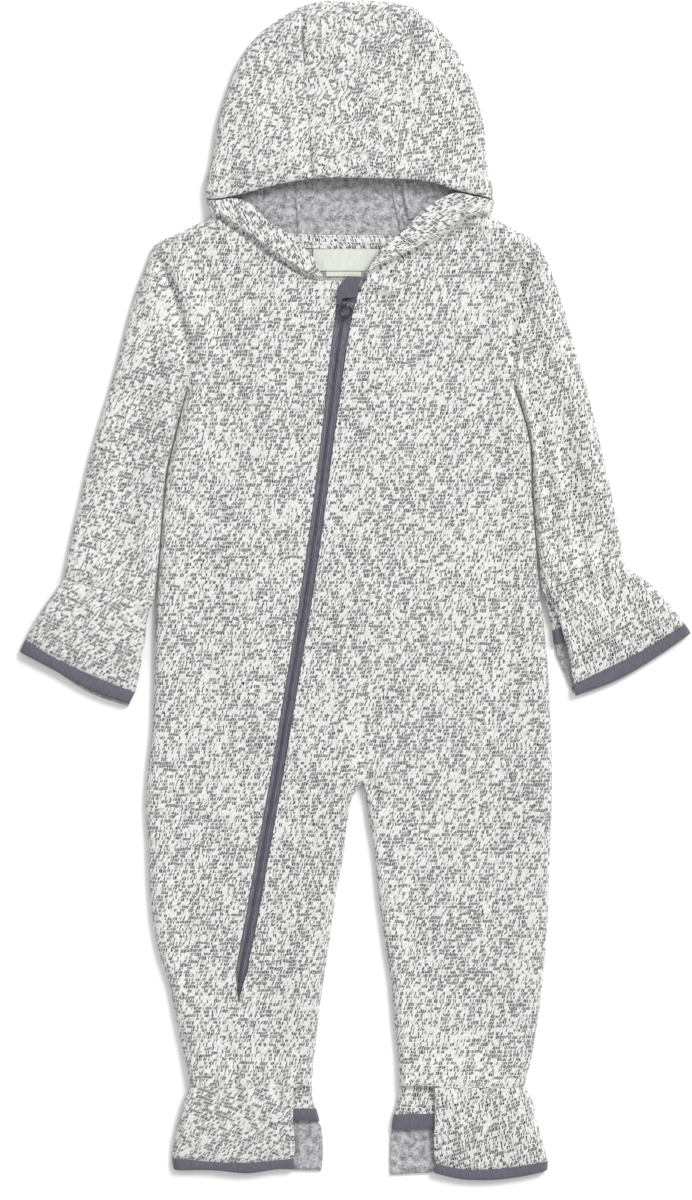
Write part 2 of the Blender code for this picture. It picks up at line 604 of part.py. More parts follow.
def torso_front(shell):
    left = level(SIDE["left"], TORSO_ROWS)
    centre = level(CENTRE, TORSO_ROWS)
    right = level(SIDE["right"], TORSO_ROWS)
    shell.add("front", front_layer(rungs(left, zip_edge(TORSO_ROWS, -1), LEFT_COLUMNS)))
    shell.add("front", front_layer(rungs(zip_edge(TORSO_ROWS, 1), centre, MIDDLE_COLUMNS)))
    shell.add("front", front_layer(rungs(centre, right, RIGHT_COLUMNS)))


def legs_front(shell):
    shell.add("front", front_layer(rungs(level(SIDE["left"], LEG_ROWS), zip_edge(LEG_ROWS, -1),
                                         LEFT_COLUMNS)))
    shell.add("front", front_layer(rungs(zip_edge(LEG_ROWS, 1), level(INSEAM["left"], LEG_ROWS),
                                         MIDDLE_COLUMNS)))
    shell.add("front", front_layer(rungs(level(INSEAM["right"], LEG_ROWS), level(SIDE["right"], LEG_ROWS),
                                         RIGHT_COLUMNS)))


def leg_ends_front(shell):
    """Step at the ankle gathers, the short layer under each foot cover, and its binding."""
    left_top = np.vstack([rungs(level(SIDE["left"], [ANKLE]), zip_edge([ANKLE], -1), LEFT_COLUMNS)[0],
                          rungs(zip_edge([ANKLE], 1), level(INSEAM["left"], [ANKLE]),
                                MIDDLE_COLUMNS)[0][1:]])
    right_top = rungs(level(INSEAM["right"], [ANKLE]), level(SIDE["right"], [ANKLE]), RIGHT_COLUMNS)[0]
    for limb, top in (("ankle_left", left_top), ("ankle_right", right_top[::-1])):
        span = steps(top, top)
        limb_end(shell, limb, top, span, "front", flip=limb == "ankle_right")


def limb_end(shell, limb, top, span, piece, flip):
    """From the gathers to the short hem, with the binding where the limb has one."""
    under = UNDER[limb]
    start, end = under["short"]
    outer, inner = under["outer"], under["inner"]
    foot = rungs(along(outer, [0]), along(inner, [0]), span)
    shell.add(piece, front_layer(np.vstack([top[None], foot]), end_top(limb), limb), flip)
    cloth = rungs(along(outer, between(SHORT_ROWS, 0, start)), along(inner, between(SHORT_ROWS, 0, start)),
                  span)
    shell.add(piece, front_layer(cloth, end_top(limb), limb), flip)
    if end > start:
        rows = between([0, 0.5, 1], start, end)
        edge = rungs(along(outer, rows), along(inner, rows), span)
        crown = np.array([0, TAPE_CROWN, 0])[:, None]
        tape = front_layer(edge, lambda points: end_top(limb)(points) + crown, limb)
        shell.add(limb.replace("_", "_binding_"), tape, flip)


def end_top(limb):
    return front_top if limb.startswith("ankle") else sleeve_top(limb.split("_")[1])


def back(shell):
    neck = along(BACK_NECK, back_neck_shares())
    top = np.vstack([along(SHOULDER["left"], SHOULDER_SHARES)[::-1], neck[1:],
                     along(SHOULDER["right"], SHOULDER_SHARES)[1:]])
    columns = BACK_COLUMNS
    mirror = [1 - share for share in reversed(columns)]
    crotch = level(CENTRE, TORSO_ROWS)
    left = rungs(level(SIDE["left"], TORSO_ROWS), crotch, columns)
    right = rungs(crotch, level(SIDE["right"], TORSO_ROWS), mirror)
    torso = np.concatenate([left, right[:, 1:]], axis=1)
    chest = patch(top, torso[0], along(SLEEVE["left"]["armhole"], ARMHOLE_BACK),
                  along(SLEEVE["right"]["armhole"], ARMHOLE_BACK))
    shell.add("back", back_layer(chest), True)
    shell.add("back", back_layer(torso), True)
    for side in ("left", "right"):
        leg = rungs(level(SIDE[side], LEG_ROWS), level(INSEAM[side], LEG_ROWS), columns)
        flip = side == "left"
        shell.add("back", back_layer(leg), flip)
        back_end(shell, "ankle_" + side, leg[-1], columns, "back", flip)


def back_end(shell, limb, top, span, piece, flip):
    """The back half of a limb's end, all the way to the full hem."""
    under = UNDER[limb]
    start, end = under["short"]
    rows = [0, *between(SHORT_ROWS[1:], 0, start)]
    if end > start:
        rows += list(between([0.5, 1], start, end))
    rows += list(between(HEM_ROWS[1:-1], end, 1))
    upper = rungs(along(under["outer"], rows), along(under["inner"], rows), span)
    hem = along(under["hem"], span)
    shell.add(piece, back_layer(np.concatenate([top[None], upper, hem[None]]), limb), flip)


def back_neck_shares():
    first, second = BACK_NECK_SEAMS
    outer = [share * first for share in HOOD_BACK_COLUMNS]
    centre = list(between(HOOD_CENTRE_COLUMNS, first, second))
    other = [1 - share * (1 - second) for share in reversed(HOOD_BACK_COLUMNS)]
    return outer + centre[1:] + other[1:]


def sleeves(shell):
    for side in ("left", "right"):
        cut, limb, name = SLEEVE[side], "wrist_" + side, "sleeve_" + side
        flip = side == "right"
        outer, inner = along(cut["outer"], SLEEVE_ROWS), along(cut["inner"], SLEEVE_ROWS)
        for layer, shares in (("front", ARMHOLE_FRONT), ("back", ARMHOLE_BACK)):
            wrist = rungs(outer[-1:], inner[-1:], shares)[0]
            plan = patch(along(cut["armhole"], shares), wrist, outer, inner)
            if layer == "front":
                shell.add(name, front_layer(plan, sleeve_top(side)), flip)
                limb_end(shell, limb, wrist, shares, name, flip)
            else:
                shell.add(name, back_layer(plan), not flip)
                back_end(shell, limb, wrist, shares, name, not flip)


def hood(shell):
    crown = along(CROWN, HOOD_CENTRE_COLUMNS)
    first, second = BACK_NECK_SEAMS
    feet = dict(zip(("left", "right"), along(BACK_NECK, [first, second])))
    back_seams = {}
    for side in ("left", "right"):
        name, flip = "hood_side_" + side, side == "right"
        silhouette = along(HOOD_SIDE[side], HOOD_ROWS)
        corner = along(HOOD_CORNER[side], BAND_ROWS)
        seam = along(FRONT_SEAM[side], HOOD_ROWS)
        face = along(FACE_EDGE[side], HOOD_SIDE_COLUMNS)
        start = np.repeat(silhouette[:1], len(face), axis=0)
        shell.add(name, front_layer(patch(start, face, silhouette, seam), hood_top), flip)
        band = patch(along(BAND_EDGE[side], NECK_SHARES), along(NECK[side], NECK_SHARES), corner,
                     np.linspace(BAND_EDGE[side][-1], NECK[side][-1], len(BAND_ROWS)))
        shell.add(name, front_layer(band, band_top(side)), flip)
        rows = np.vstack([silhouette, corner])
        line = BACK_SEAM[side] + [tuple(feet[side])]
        back_seams[side] = along(line, [*between(HOOD_ROWS, 0, 0.84), *between(BAND_ROWS, 0.86, 1)])
        neck_share = first if side == "left" else 1 - second
        shares = [s * neck_share if side == "left" else 1 - s * neck_share for s in HOOD_BACK_COLUMNS]
        neck = along(BACK_NECK, shares)
        start = np.repeat(rows[:1], len(neck), axis=0)
        shell.add(name, back_layer(patch(start, neck, rows, back_seams[side])), not flip)
    face = along(FACE_EDGE_CENTRE, HOOD_CENTRE_COLUMNS)
    seams = [along(FRONT_SEAM[side], HOOD_ROWS) for side in ("left", "right")]
    shell.add("hood_center", front_layer(patch(crown, face, *seams), hood_top))
    neck = along(BACK_NECK, between(HOOD_CENTRE_COLUMNS, first, second))
    shell.add("hood_center", back_layer(patch(crown, neck, back_seams["left"], back_seams["right"])), True)


def garment():
    shell = Shell()
    chest_front(shell)
    torso_front(shell)
    legs_front(shell)
    leg_ends_front(shell)
    back(shell)
    sleeves(shell)
    hood(shell)
    cloth = {name: "knit" for name in ("front", "back", "sleeve_left", "sleeve_right", "hood_center",
                                       "hood_side_left", "hood_side_right")}
    bindings = {name: "tape" for name in ("wrist_binding_right", "ankle_binding_left",
                                          "ankle_binding_right")}
    shell.build({**cloth, **bindings}, {name: TAPE_SWELL for name in bindings})


def covers():
    for limb, cut in COVER.items():
        shell = Shell()
        joint, side = limb.split("_")
        flap, binding = f"{joint}_flap_{side}", f"{joint}_cover_binding_{side}"
        flip = side == "right"
        outer, inner = along(cut["outer"], COVER_ROWS), along(cut["inner"], COVER_ROWS)
        top = rungs(outer[:1], inner[:1], COVER_COLUMNS)[0]
        edge = along(cut["binding"], COVER_COLUMNS)
        shell.add(flap, cover_layer(patch(top, edge, outer, inner), limb), flip)
        hem = along(cut["hem"], COVER_COLUMNS)
        strip = np.stack([edge, (edge + hem) / 2, hem])
        shell.add(binding, cover_layer(strip, limb), flip)
        shell.build({flap: "knit", binding: "tape"}, {binding: TAPE_SWELL})


# ---------------------------------------------------------------- zip, label
def zip_strips():
    clear = SEAM + 0.2
    middle, coil = level(ZIP, ZIP_ROWS)[:, :2], level(ZIP, COIL_ROWS)[:, :2]
    reach = np.array((COIL_HALF + SEAM, 0))
    for side, sign in (("left", -1), ("right", 1)):
        edge = zip_edge(ZIP_ROWS, sign) - np.array((sign * clear, 0))
        pair = (edge, middle - reach) if sign < 0 else (middle + reach, edge)
        slab("zip_tape_" + side, "tape", rungs(*pair, [0, 1]), TAPE_FLOOR, TAPE_TOP)
    half = np.array((COIL_HALF, 0))
    slab("zip_coil", "coil", rungs(coil - half, coil + half, [0, 1]), TAPE_FLOOR, COIL_TOP)


def prism(name, finish, outline_points, floor, top):
    count = len(outline_points)
    points = [(x, y, floor) for x, y in outline_points] + [(x, y, top) for x, y in outline_points]
    faces = [list(range(count)), list(range(2 * count - 1, count - 1, -1))]
    faces += [[(k + 1) % count, k, count + k, count + (k + 1) % count] for k in range(count)]
    return solid(name, finish, points, faces)


def garage():
    prism("zip_garage", "tape", GARAGE, GARAGE_FLOOR, GARAGE_FLOOR + GARAGE_THICK)


def zip_frame(across, ahead, up=0.0):
    """Place beside the slider's middle: across the zip, ahead towards the neck, and up."""
    x = SLIDER_AT[0] + across * cos(ZIP_LEAN) + ahead * sin(ZIP_LEAN)
    y = SLIDER_AT[1] - across * sin(ZIP_LEAN) + ahead * cos(ZIP_LEAN)
    return x, y, up


HINGE_AHEAD = 2.4
HINGE_UP = SLIDER_FLOOR + SLIDER_SIZE[2] + LAID_ON + RING_TUBE


def slider():
    """Body plate with a nose, and the bail that the pull hangs in, as one casting."""
    wide, long, high = SLIDER_SIZE
    nose = wide / 2 * SLIDER_NOSE
    plan = [(-nose, -long / 2), (nose, -long / 2), (wide / 2, long * 0.1), (wide / 2, long * 0.42),
            (wide * 0.3, long / 2), (-wide * 0.3, long / 2), (-wide / 2, long * 0.42),
            (-wide / 2, long * 0.1)]
    floor = SLIDER_FLOOR
    body = prism("zip_slider", "enamel", [zip_frame(*p)[:2] for p in plan], floor, floor + high)
    inner = RING_TUBE + BAIL_CLEAR
    outer = inner + BAIL_THICK
    down = HINGE_UP - floor - high / 2
    turns = [pi * k / 8 for k in range(9)]
    arch = [(outer, -down)] + [(outer * cos(a), outer * sin(a)) for a in turns] + [(-outer, -down)]
    arch += [(-inner, -down)] + [(-inner * cos(a), inner * sin(a)) for a in turns] + [(inner, -down)]
    count = len(arch)
    points = [zip_frame(side * BAIL_WIDTH / 2, HINGE_AHEAD + run, HINGE_UP + rise)
              for side in (-1, 1) for run, rise in arch]
    half = count // 2
    faces = []
    for k in range(half - 1):
        quad = [k, k + 1, count - 2 - k, count - 1 - k]
        faces += [quad[::-1], [count + corner for corner in quad]]
    faces += [[k, (k + 1) % count, count + (k + 1) % count, count + k] for k in range(count)]
    bail = solid("bail", "enamel", points, faces)
    faces_out(bail)
    faces_out(body)
    join = body.modifiers.new("bail", "BOOLEAN")
    join.operation = "UNION"
    join.object = bail
    bail.hide_render = True
    bail.display_type = "WIRE"


def faces_out(made):
    mesh = bmesh.new()
    mesh.from_mesh(made.data)
    bmesh.ops.recalc_face_normals(mesh, faces=mesh.faces)
    mesh.to_mesh(made.data)
    mesh.free()


def pull():
    """Round ring; its origin is the hinge, where the tube passes through the bail."""
    around, section = 22, 8
    points, faces = [], []
    for i in range(around):
        turn = 2 * pi * i / around
        for j in range(section):
            roll = 2 * pi * j / section
            reach = RING_RADIUS + RING_TUBE * cos(roll)
            points.append(zip_frame(reach * sin(turn), HINGE_AHEAD - RING_RADIUS + reach * cos(turn),
                                    HINGE_UP + RING_TUBE * sin(roll)))
            faces.append([i * section + j, i * section + (j + 1) % section,
                          (i + 1) % around * section + (j + 1) % section,
                          (i + 1) % around * section + j])
    hinge = np.array(zip_frame(0, HINGE_AHEAD, HINGE_UP))
    ring = solid("zip_pull", "enamel", np.array(points) - hinge, faces)
    faces_out(ring)
    ring.location = hinge / 1000


def neck_pieces():
    neck = along(BACK_NECK, DENSE)
    upper = [(x, np.interp(x, neck[:, 0], neck[:, 1]) - SEAM) for x, _ in NECK_TAPE]
    lower = [(x, y - depth) for (x, y), (_, depth) in zip(upper, NECK_TAPE)]
    floor = CLOTH + LAID_ON
    slab("neck_tape", "knit", np.array([upper, lower]), floor, floor + NECK_TAPE_THICK)
    for name, ((x0, y0), (x1, y1)) in (("neck_label", LABEL), ("label_tab", LABEL_TAB)):
        grid = np.array([[(x0, y1), (x1, y1)], [(x0, y0), (x1, y0)]], float)
        slab(name, "label", grid, floor, floor + LABEL_THICK)


def stand_on_origin():
    """Origin at the middle of the footprint, on the surface that the garment lies on."""
    bpy.context.view_layer.update()
    pieces = [piece for piece in bpy.data.objects if piece.type == "MESH"]
    shown = [piece for piece in pieces if not piece.hide_render]
    corners = np.array([piece.matrix_world @ corner.co for piece in shown for corner in piece.data.vertices])
    low, high = corners.min(0), corners.max(0)
    move = -np.array(((low[0] + high[0]) / 2, (low[1] + high[1]) / 2, low[2]))
    for piece in pieces:
        if piece.name == "zip_pull":
            piece.location = np.array(piece.location) + move
        else:
            for corner in piece.data.vertices:
                corner.co = np.array(corner.co) + move


def main():
    for old in list(bpy.data.objects):
        bpy.data.objects.remove(old, do_unlink=True)
    garment()
    covers()
    zip_strips()
    garage()
    slider()
    pull()
    neck_pieces()
    stand_on_origin()


main()
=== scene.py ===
import json
from math import cos, pi, radians, sin

import bmesh
import bpy
import numpy as np
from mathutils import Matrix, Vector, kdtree, noise

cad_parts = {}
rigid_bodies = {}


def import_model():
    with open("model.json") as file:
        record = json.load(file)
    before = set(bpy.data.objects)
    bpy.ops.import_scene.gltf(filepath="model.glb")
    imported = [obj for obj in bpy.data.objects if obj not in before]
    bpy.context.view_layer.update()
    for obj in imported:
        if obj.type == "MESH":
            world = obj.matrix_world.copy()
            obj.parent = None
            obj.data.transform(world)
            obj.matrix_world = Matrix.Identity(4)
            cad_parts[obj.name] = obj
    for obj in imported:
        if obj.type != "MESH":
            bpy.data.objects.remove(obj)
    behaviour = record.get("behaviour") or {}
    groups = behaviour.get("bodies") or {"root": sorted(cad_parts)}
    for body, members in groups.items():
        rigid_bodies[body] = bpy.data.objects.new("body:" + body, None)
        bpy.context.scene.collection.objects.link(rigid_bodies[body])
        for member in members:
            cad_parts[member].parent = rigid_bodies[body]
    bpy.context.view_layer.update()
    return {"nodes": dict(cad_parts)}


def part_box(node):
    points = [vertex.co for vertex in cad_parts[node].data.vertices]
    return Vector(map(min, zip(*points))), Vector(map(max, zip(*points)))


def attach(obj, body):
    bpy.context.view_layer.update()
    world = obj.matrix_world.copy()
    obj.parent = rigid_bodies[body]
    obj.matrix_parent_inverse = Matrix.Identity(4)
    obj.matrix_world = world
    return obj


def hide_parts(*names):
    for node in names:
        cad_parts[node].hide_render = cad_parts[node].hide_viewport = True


for old in list(bpy.data.objects):
    bpy.data.objects.remove(old, do_unlink=True)
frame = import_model()
print("frame loaded")

# The garment's patterns below are in millimetres on paper; this brings them over the CAD.
paperShift = np.array((-3.7411, -425.0346, 0.0))

# Body outline, (x, y): down each side, and down each inseam from the crotch
bodySide = {
    "left": [(-117.5, 570), (-126, 534), (-131, 512.5), (-134.5, 480), (-137, 446.5), (-139.5, 414),
             (-141, 360), (-142.5, 324), (-145.5, 295), (-147, 273.5), (-145.5, 245), (-144.5, 216),
             (-142, 187), (-136, 158.5), (-131, 144), (-125, 115), (-119, 86.5), (-115, 68)],
    "right": [(118.5, 570), (123, 557), (126.5, 545), (129.8, 530), (131, 498), (133.5, 463.5), (136.5, 426),
              (141, 389), (144, 345.5), (145.5, 302), (145.5, 273.5), (144.5, 245), (143.5, 216),
              (142, 173), (139, 144), (135.5, 115), (130.5, 86.5), (126, 68)]}
legInseam = {
    "left": [(8.6, 286), (2.5, 277), (-2, 257), (-5, 232), (-9.5, 209), (-14.5, 173), (-21, 130),
             (-26, 86.5), (-28, 68)],
    "right": [(8.6, 286), (11.5, 275), (13.7, 259), (17.3, 238), (21, 202), (25, 173), (29.5, 144),
              (32, 115), (35, 86.5), (36, 68)]}
legCentre = [(28, 570), (20, 470), (11, 370), (8.6, 286)]      # where the right leg's front begins

# Shoulders from the neck to the armhole, and neck seams from the shoulder to the zip
shoulderSeam = {
    "left": [(-101, 693), (-119.5, 684), (-135, 677), (-142, 672.5)],
    "right": [(101.5, 694), (119.5, 684), (132.5, 677), (136, 673)]}
neckSeam = {
    "left": [(-101, 693), (-95, 693), (-75, 680), (-51, 663.5), (-26, 649), (-19, 647.5)],
    "right": [(101.5, 694), (89, 692.5), (74, 684), (52, 671), (32, 662), (18, 654.5), (12, 649.5)]}
backNeck = [(-101, 693), (-72, 685.5), (-37, 682), (0, 681), (37.5, 682), (72, 686), (101.5, 694)]
backNeckSeams = (0.32, 0.68)      # where the hood's back seams meet it, as shares of its length

# Zip: centre line (x, y) and half of the width that shows
zipLine = [(5.2, 648.5, 6.8), (0.2, 641, 7.0), (-2.6, 632, 6.7), (-5.2, 619, 6.1), (-8.2, 598, 5.8),
           (-13.6, 554.5, 5.1), (-17.2, 525.5, 4.7), (-24.5, 468, 4.7), (-33, 410.5, 4.6),
           (-42.5, 353, 4.6), (-52, 295, 4.6), (-62.3, 237.5, 4.7), (-72.4, 180, 4.6),
           (-78.2, 150, 4.2), (-79.6, 137, 1.9), (-80.6, 126, 0), (-79.5, 100, 0), (-77, 68, 0)]

# Sleeves: armhole from the shoulder down, then outer and inner outline from there to the gathers
sleeveCut = {
    "left": {
        "armhole": [(-142, 672.5), (-133, 651.5), (-119.5, 607), (-116.5, 587), (-117.5, 570)],
        "outer": [(-142, 672.5), (-145.5, 662.5), (-151, 648), (-156, 633.5), (-163.5, 605),
                  (-170, 580), (-180, 547), (-188, 518.5), (-194.5, 489.5), (-201, 461), (-206, 435)],
        "inner": [(-117.5, 570), (-127, 534), (-132, 512.5), (-135.5, 480), (-138, 446.5), (-141, 418)]},
    "right": {
        "armhole": [(136, 673), (126, 651.5), (119.5, 633.5), (117.5, 598), (118.5, 570)],
        "outer": [(136, 673), (142, 662.5), (147.5, 648), (152.5, 633.5), (160.5, 605), (168, 579.5),
                  (176.5, 547), (183, 518.5), (189.5, 489.5), (195, 461), (198, 443)],
        "inner": [(118.5, 570), (124, 557), (127.5, 545), (130.8, 530), (132, 498), (134.5, 463.5),
                  (138, 427)]}}

# Past the gathers: the layers under each cover, (x, y) from the gathers to the full back hem.
# "short" gives the shares of that length where the short front layer and its binding end.
underCut = {
    "wrist_left": {
        "outer": [(-203.8, 431.2), (-213.5, 418), (-221.5, 403.5), (-228, 392.5), (-231.8, 386)],
        "inner": [(-143.5, 416.3), (-147, 405), (-149, 389), (-153, 369), (-157, 350.5), (-160, 341.5)],
        "hem": [(-231.8, 386), (-213, 368), (-186, 350.5), (-160, 341.5)],
        "short": (0.45, 0.45)},
    "wrist_right": {
        "outer": [(195.9, 440.2), (210.8, 430), (225, 415.5), (237.5, 400.5), (241.5, 395)],
        "inner": [(138.6, 424.9), (141, 413.5), (146, 395.5), (147.5, 385), (155, 366), (161, 351)],
        "hem": [(241.5, 395), (221.5, 380), (190.5, 362), (161, 351)],
        "short": (0.39, 0.52)},
    "ankle_left": {
        "outer": [(-112.2, 65.8), (-119.5, 44.5), (-124.5, 21.5), (-125, 14.5), (-124, 9)],
        "inner": [(-27.5, 65.8), (-26.5, 57.5), (-22.5, 43), (-20, 21.5), (-21, 6.5)],
        "hem": [(-124, 9), (-75, 8.5), (-40, 7), (-21, 6.5)],
        "short": (0.25, 0.40)},
    "ankle_right": {
        "outer": [(123.2, 65.8), (127.5, 60), (131.7, 43), (136.7, 24), (139, 8.5)],
        "inner": [(35.7, 65.8), (35, 60), (31, 43), (29.5, 21.5), (29.5, 3.6)],
        "hem": [(139, 8.5), (97, 4), (61, 5), (29.5, 3.6)],
        "short": (0.31, 0.48)}}

# Covers: outer and inner side from the gathers to the binding, then the binding's two edges
coverCut = {
    "wrist_left": {
        "outer": [(-206.4, 432), (-216, 419), (-225.5, 404.5), (-234, 389)],
        "inner": [(-141.5, 416), (-145.5, 405), (-147.5, 389), (-151, 369), (-155, 351)],
        "binding": [(-234, 389), (-213, 376), (-185, 363), (-155, 351)],
        "hem": [(-238, 380.5), (-214, 368), (-185, 352), (-159, 343)],
        "foldedDrop": 0.8},
    "wrist_right": {
        "outer": [(198.5, 441), (213, 432), (227.5, 417.5), (241.3, 400.3)],
        "inner": [(138.7, 424.9), (149, 408), (152.5, 396.5), (157, 381.5), (161.5, 357)],
        "binding": [(241.3, 400.3), (207.5, 379.5), (184.5, 368), (161.5, 357)],
        "hem": [(245.5, 394), (223, 378.5), (191.5, 360), (162.5, 349)],
        "foldedDrop": 0.4},
    "ankle_left": {
        "outer": [(-115.2, 66), (-117.8, 60), (-122.5, 44.5), (-127.5, 21.5), (-128.2, 15.5)],
        "inner": [(-40.5, 66), (-41, 45), (-41, 15)],
        "binding": [(-128.2, 15.5), (-103, 13), (-78, 12), (-41, 15)],
        "hem": [(-127, 7), (-97, 7), (-74, 5), (-50, 8), (-39.5, 8)],
        "foldedDrop": 0.8},
    "ankle_right": {
        "outer": [(126.2, 66), (130.5, 59), (134.5, 43), (139.5, 24), (142.5, 13)],
        "inner": [(61, 66), (61, 45), (62, 11.5)],
        "binding": [(142.5, 13), (103, 7.5), (80.5, 7.5), (62, 11.5)],
        "hem": [(142, 6.5), (120, 2), (97, 0), (80.5, 0.7), (61, 5)],
        "foldedDrop": 0.8}}

# Hood: each side's outline from the crown to the face edge's corner, then on to the neck
hoodSide = {
    "left": [(-35.5, 845.3), (-53, 835.5), (-70, 821), (-80, 806.5), (-86, 792), (-91, 777.5),
             (-95, 763), (-99.5, 734.5), (-104.5, 713), (-103.5, 706.5)],
    "right": [(47, 844.5), (57.5, 835.5), (71.5, 821), (80.5, 806.5), (87, 792), (92, 777.5),
              (96, 763), (98.5, 734.5), (103, 713), (103.5, 706.5)]}
hoodCorner = {
    "left": [(-103, 704.8), (-102, 700), (-101, 693)],
    "right": [(104, 704.8), (103.5, 700), (101.5, 694)]}
crownLine = [(-35.5, 845.3), (-26, 848.5), (-6, 850), (14, 849.7), (34, 847.7), (47, 844.5)]
frontSeam = {      # from the crown to the face edge
    "left": [(-35.5, 845.3), (-33, 800), (-29.5, 755), (-27.5, 721)],
    "right": [(47, 844.5), (41, 800), (32, 755), (26, 721)]}
backSeam = {       # from the crown to a point just above the back neck
    "left": [(-35.5, 845.3), (-37, 780), (-37.5, 720)],
    "right": [(47, 844.5), (36, 780), (31, 720)]}
faceEdge = {       # upper face edge, from its corner to the centre strip
    "left": [(-103.5, 706.5), (-93.5, 707), (-83.5, 709), (-73.5, 711.5), (-60, 715), (-45, 718.5),
             (-27.5, 721)],
    "right": [(103.5, 706.5), (89.5, 710), (74, 714), (60, 718.5), (37.5, 720.8), (26, 721)]}
faceCentre = [(-27.5, 721), (-7, 721.6), (26, 721)]
bandEdge = {       # lower face edge, from under that corner to the centre front
    "left": [(-103, 704.8), (-94, 705), (-83.5, 706.3), (-76, 704.5), (-60, 691), (-41, 678.2),
             (-26, 663)],
    "right": [(104, 704.8), (90, 707.5), (76, 710), (62, 704.5), (52, 697), (39, 684), (22.3, 669.6),
              (15.5, 659.5)]}

# Largest folds of the front: ends of the crease (x, y), its half width and its height
frontFolds = [      # x0, y0, x1, y1, half width, height
    (-136, 660, -117, 588, 9, -1.2),
    (-128, 668, -107, 590, 14, 1.8),
    (-146, 655, -124, 585, 16, 1.6),
    (128, 662, 116, 600, 9, -1.2),
    (120, 668, 106, 600, 14, 1.8),
    (140, 650, 124, 585, 16, 1.6),
    (12, 647, 31, 641, 7, 1.8),
    (31, 641, 58, 655, 7, 1.5),
    (11, 292, 26, 268, 6, -1.6),
    (-20, 300, -60, 330, 18, 1.0),
    (30, 300, 75, 335, 18, 1.2)]
sleeveFolds = {
    "left": [(-124, 560, -150, 450, 10, 0.8), (-150, 600, -178, 500, 16, 0.8)],
    "right": [(131, 594, 136, 545, 9, -1.0), (134, 545, 150, 462, 9, -1.0), (128, 560, 137, 480, 10, 1.4),
              (150, 600, 172, 500, 18, 1.0)]}

# How each piece is divided, by share of its width or length, close where the cloth turns
spacing = {
    "left": [0, .007, .026, .055, .12, .19, .27, .36, .46, .56, .66, .76, .86, .94, 1],
    "middle": [0, .4, .76, .93, .98, 1],
    "right": [0, .008, .028, .07, .36, .7, .945, .985, 1],
    "back": [0, .006, .022, .05, .2, .37, .54, .72, .87, .965, .99, 1],
    "armholeFront": [0, .008, .028, .06, .18, .34, .5, .66, .82, .94, .972, .992, 1],
    "armholeBack": [0, .008, .028, .06, .32, .66, .94, .972, .992, 1],
    "shoulder": [0, .6, .85, .95, 1],
    "neck": [0, .04, .09, .18, .31, .45, .59, .73, .87, 1],
    "hoodSide": [0, .015, .045, .085, .3, .62, 1],
    "hoodBack": [0, .015, .045, .085, .5, 1],
    "hoodCentre": [0, .25, .5, .75, 1],
    "hoodRows": [0, .02, .05, .1, .18, .3, .44, .58, .72, .86, 1],
    "bandRows": [0, .3, .62, 1],
    "cover": [0, .012, .045, .09, .2, .31, .42, .53, .64, .75, .86, .96, 1]}
# Rows across the body, by height, and down the other pieces, by share
torsoRows = [570, 543, 515, 485, 455, 425, 395, 365, 337, 313, 297, 289, 286]
legRows = [286, 282, 272, 250, 220, 190, 165, 150, 137, 126, 108, 95, 80, 68]
sleeveRows = [0, .05, .16, .3, .45, .6, .74, .86, .94, 1]
shortRows = [0, .5, 1]
hemRows = [0, .34, .67, 1]
coverRows = [0, .2, .42, .62, .8, 1]

cloth = {
    "wall": 2.4, "seamGap": 0.08, "edgeBulge": 0.6,     # thickness, gap at seams, roundness of bare edges
    "sideHeight": 3.8, "sideRoll": 5.5,                 # where front and back meet, and how far in it is flat
    "edgeTop": 7.6, "middleTop": 5.7, "lowestTop": 5.3, "sagReach": 34.0,
    "shortTop": 5.4, "shortSide": 2.8,                  # the layer under each cover
    "hoodTop": 10.0, "hoodMouth": 15.0,
    "bandRise": 3.8, "bandReach": 2.6,
    "gatherTop": 9.2, "gatherRise": 28.0, "waveHeight": 0.8, "waveLength": 24.0,
    "coverHem": 6.2, "coverDrop": 4.6,
    "dipDepth": 0.4, "dipAt": 2.5, "dipWidth": 4.0,     # where the elastic draws the cloth down
    "slopeFrom": 0.8, "slopeOver": 3.0,                 # beside a cover, past its end
    "onSide": 0.02, "tapeSwell": 0.35, "tapeCrown": 0.55,
    "zipEnd": 126.0, "ankle": 68.0, "underarm": 570.0,
    "zipSide": 9.0, "zipBulge": 0.1,                    # the cloth beside the zip lies close over its tape
    "pinched": 0.45,                                    # below this agreement of its faces two pieces part
    "grainTurn": 3.4, "rimTurn": 1.2,                   # how far the grain runs on round a side and a rim
    "waveStep": (0.31, 0.36), "waveHigh": (1.7, 1.1),   # the hood strip's courses wave as they were steamed
    "outlineStep": 0.3}


# lines and grids on paper
def fine(shares, times=5):
    # the same steps cut finer, so that pieces that share an edge still share its points
    shares = np.array(shares, float)
    return np.interp(np.arange((len(shares) - 1) * times + 1) / times, np.arange(len(shares)), shares)


def hermite(knots, values, wanted):
    slope = np.gradient(values, knots, axis=0)
    run = np.clip(np.searchsorted(knots, wanted, side="right") - 1, 0, len(knots) - 2)
    length = (knots[run + 1] - knots[run])[:, None]
    q = (wanted - knots[run])[:, None] / length
    return ((2 * q**3 - 3 * q**2 + 1) * values[run] + (q**3 - 2 * q**2 + q) * length * slope[run]
            + (3 * q**2 - 2 * q**3) * values[run + 1] + (q**3 - q**2) * length * slope[run + 1])


def lengths(line):
    return np.concatenate([[0], np.cumsum(np.linalg.norm(np.diff(line, axis=0), axis=1))])


def along(line, shares):
    line = np.array(line, float)
    knots = lengths(line)
    return hermite(knots, line, np.array(shares, float) * knots[-1])


def level(line, heights):
    line = np.array(line, float)
    return hermite(-line[:, 1], line, -np.array(heights, float))


def between(shares, start, end):
    return start + (end - start) * np.array(shares, float)


def zipEdge(heights, sign):
    rows = level(zipLine, heights)
    half = np.interp(-np.array(heights, float), [-row[1] for row in zipLine], [row[2] for row in zipLine])
    return np.column_stack([rows[:, 0] + sign * half, rows[:, 1]])


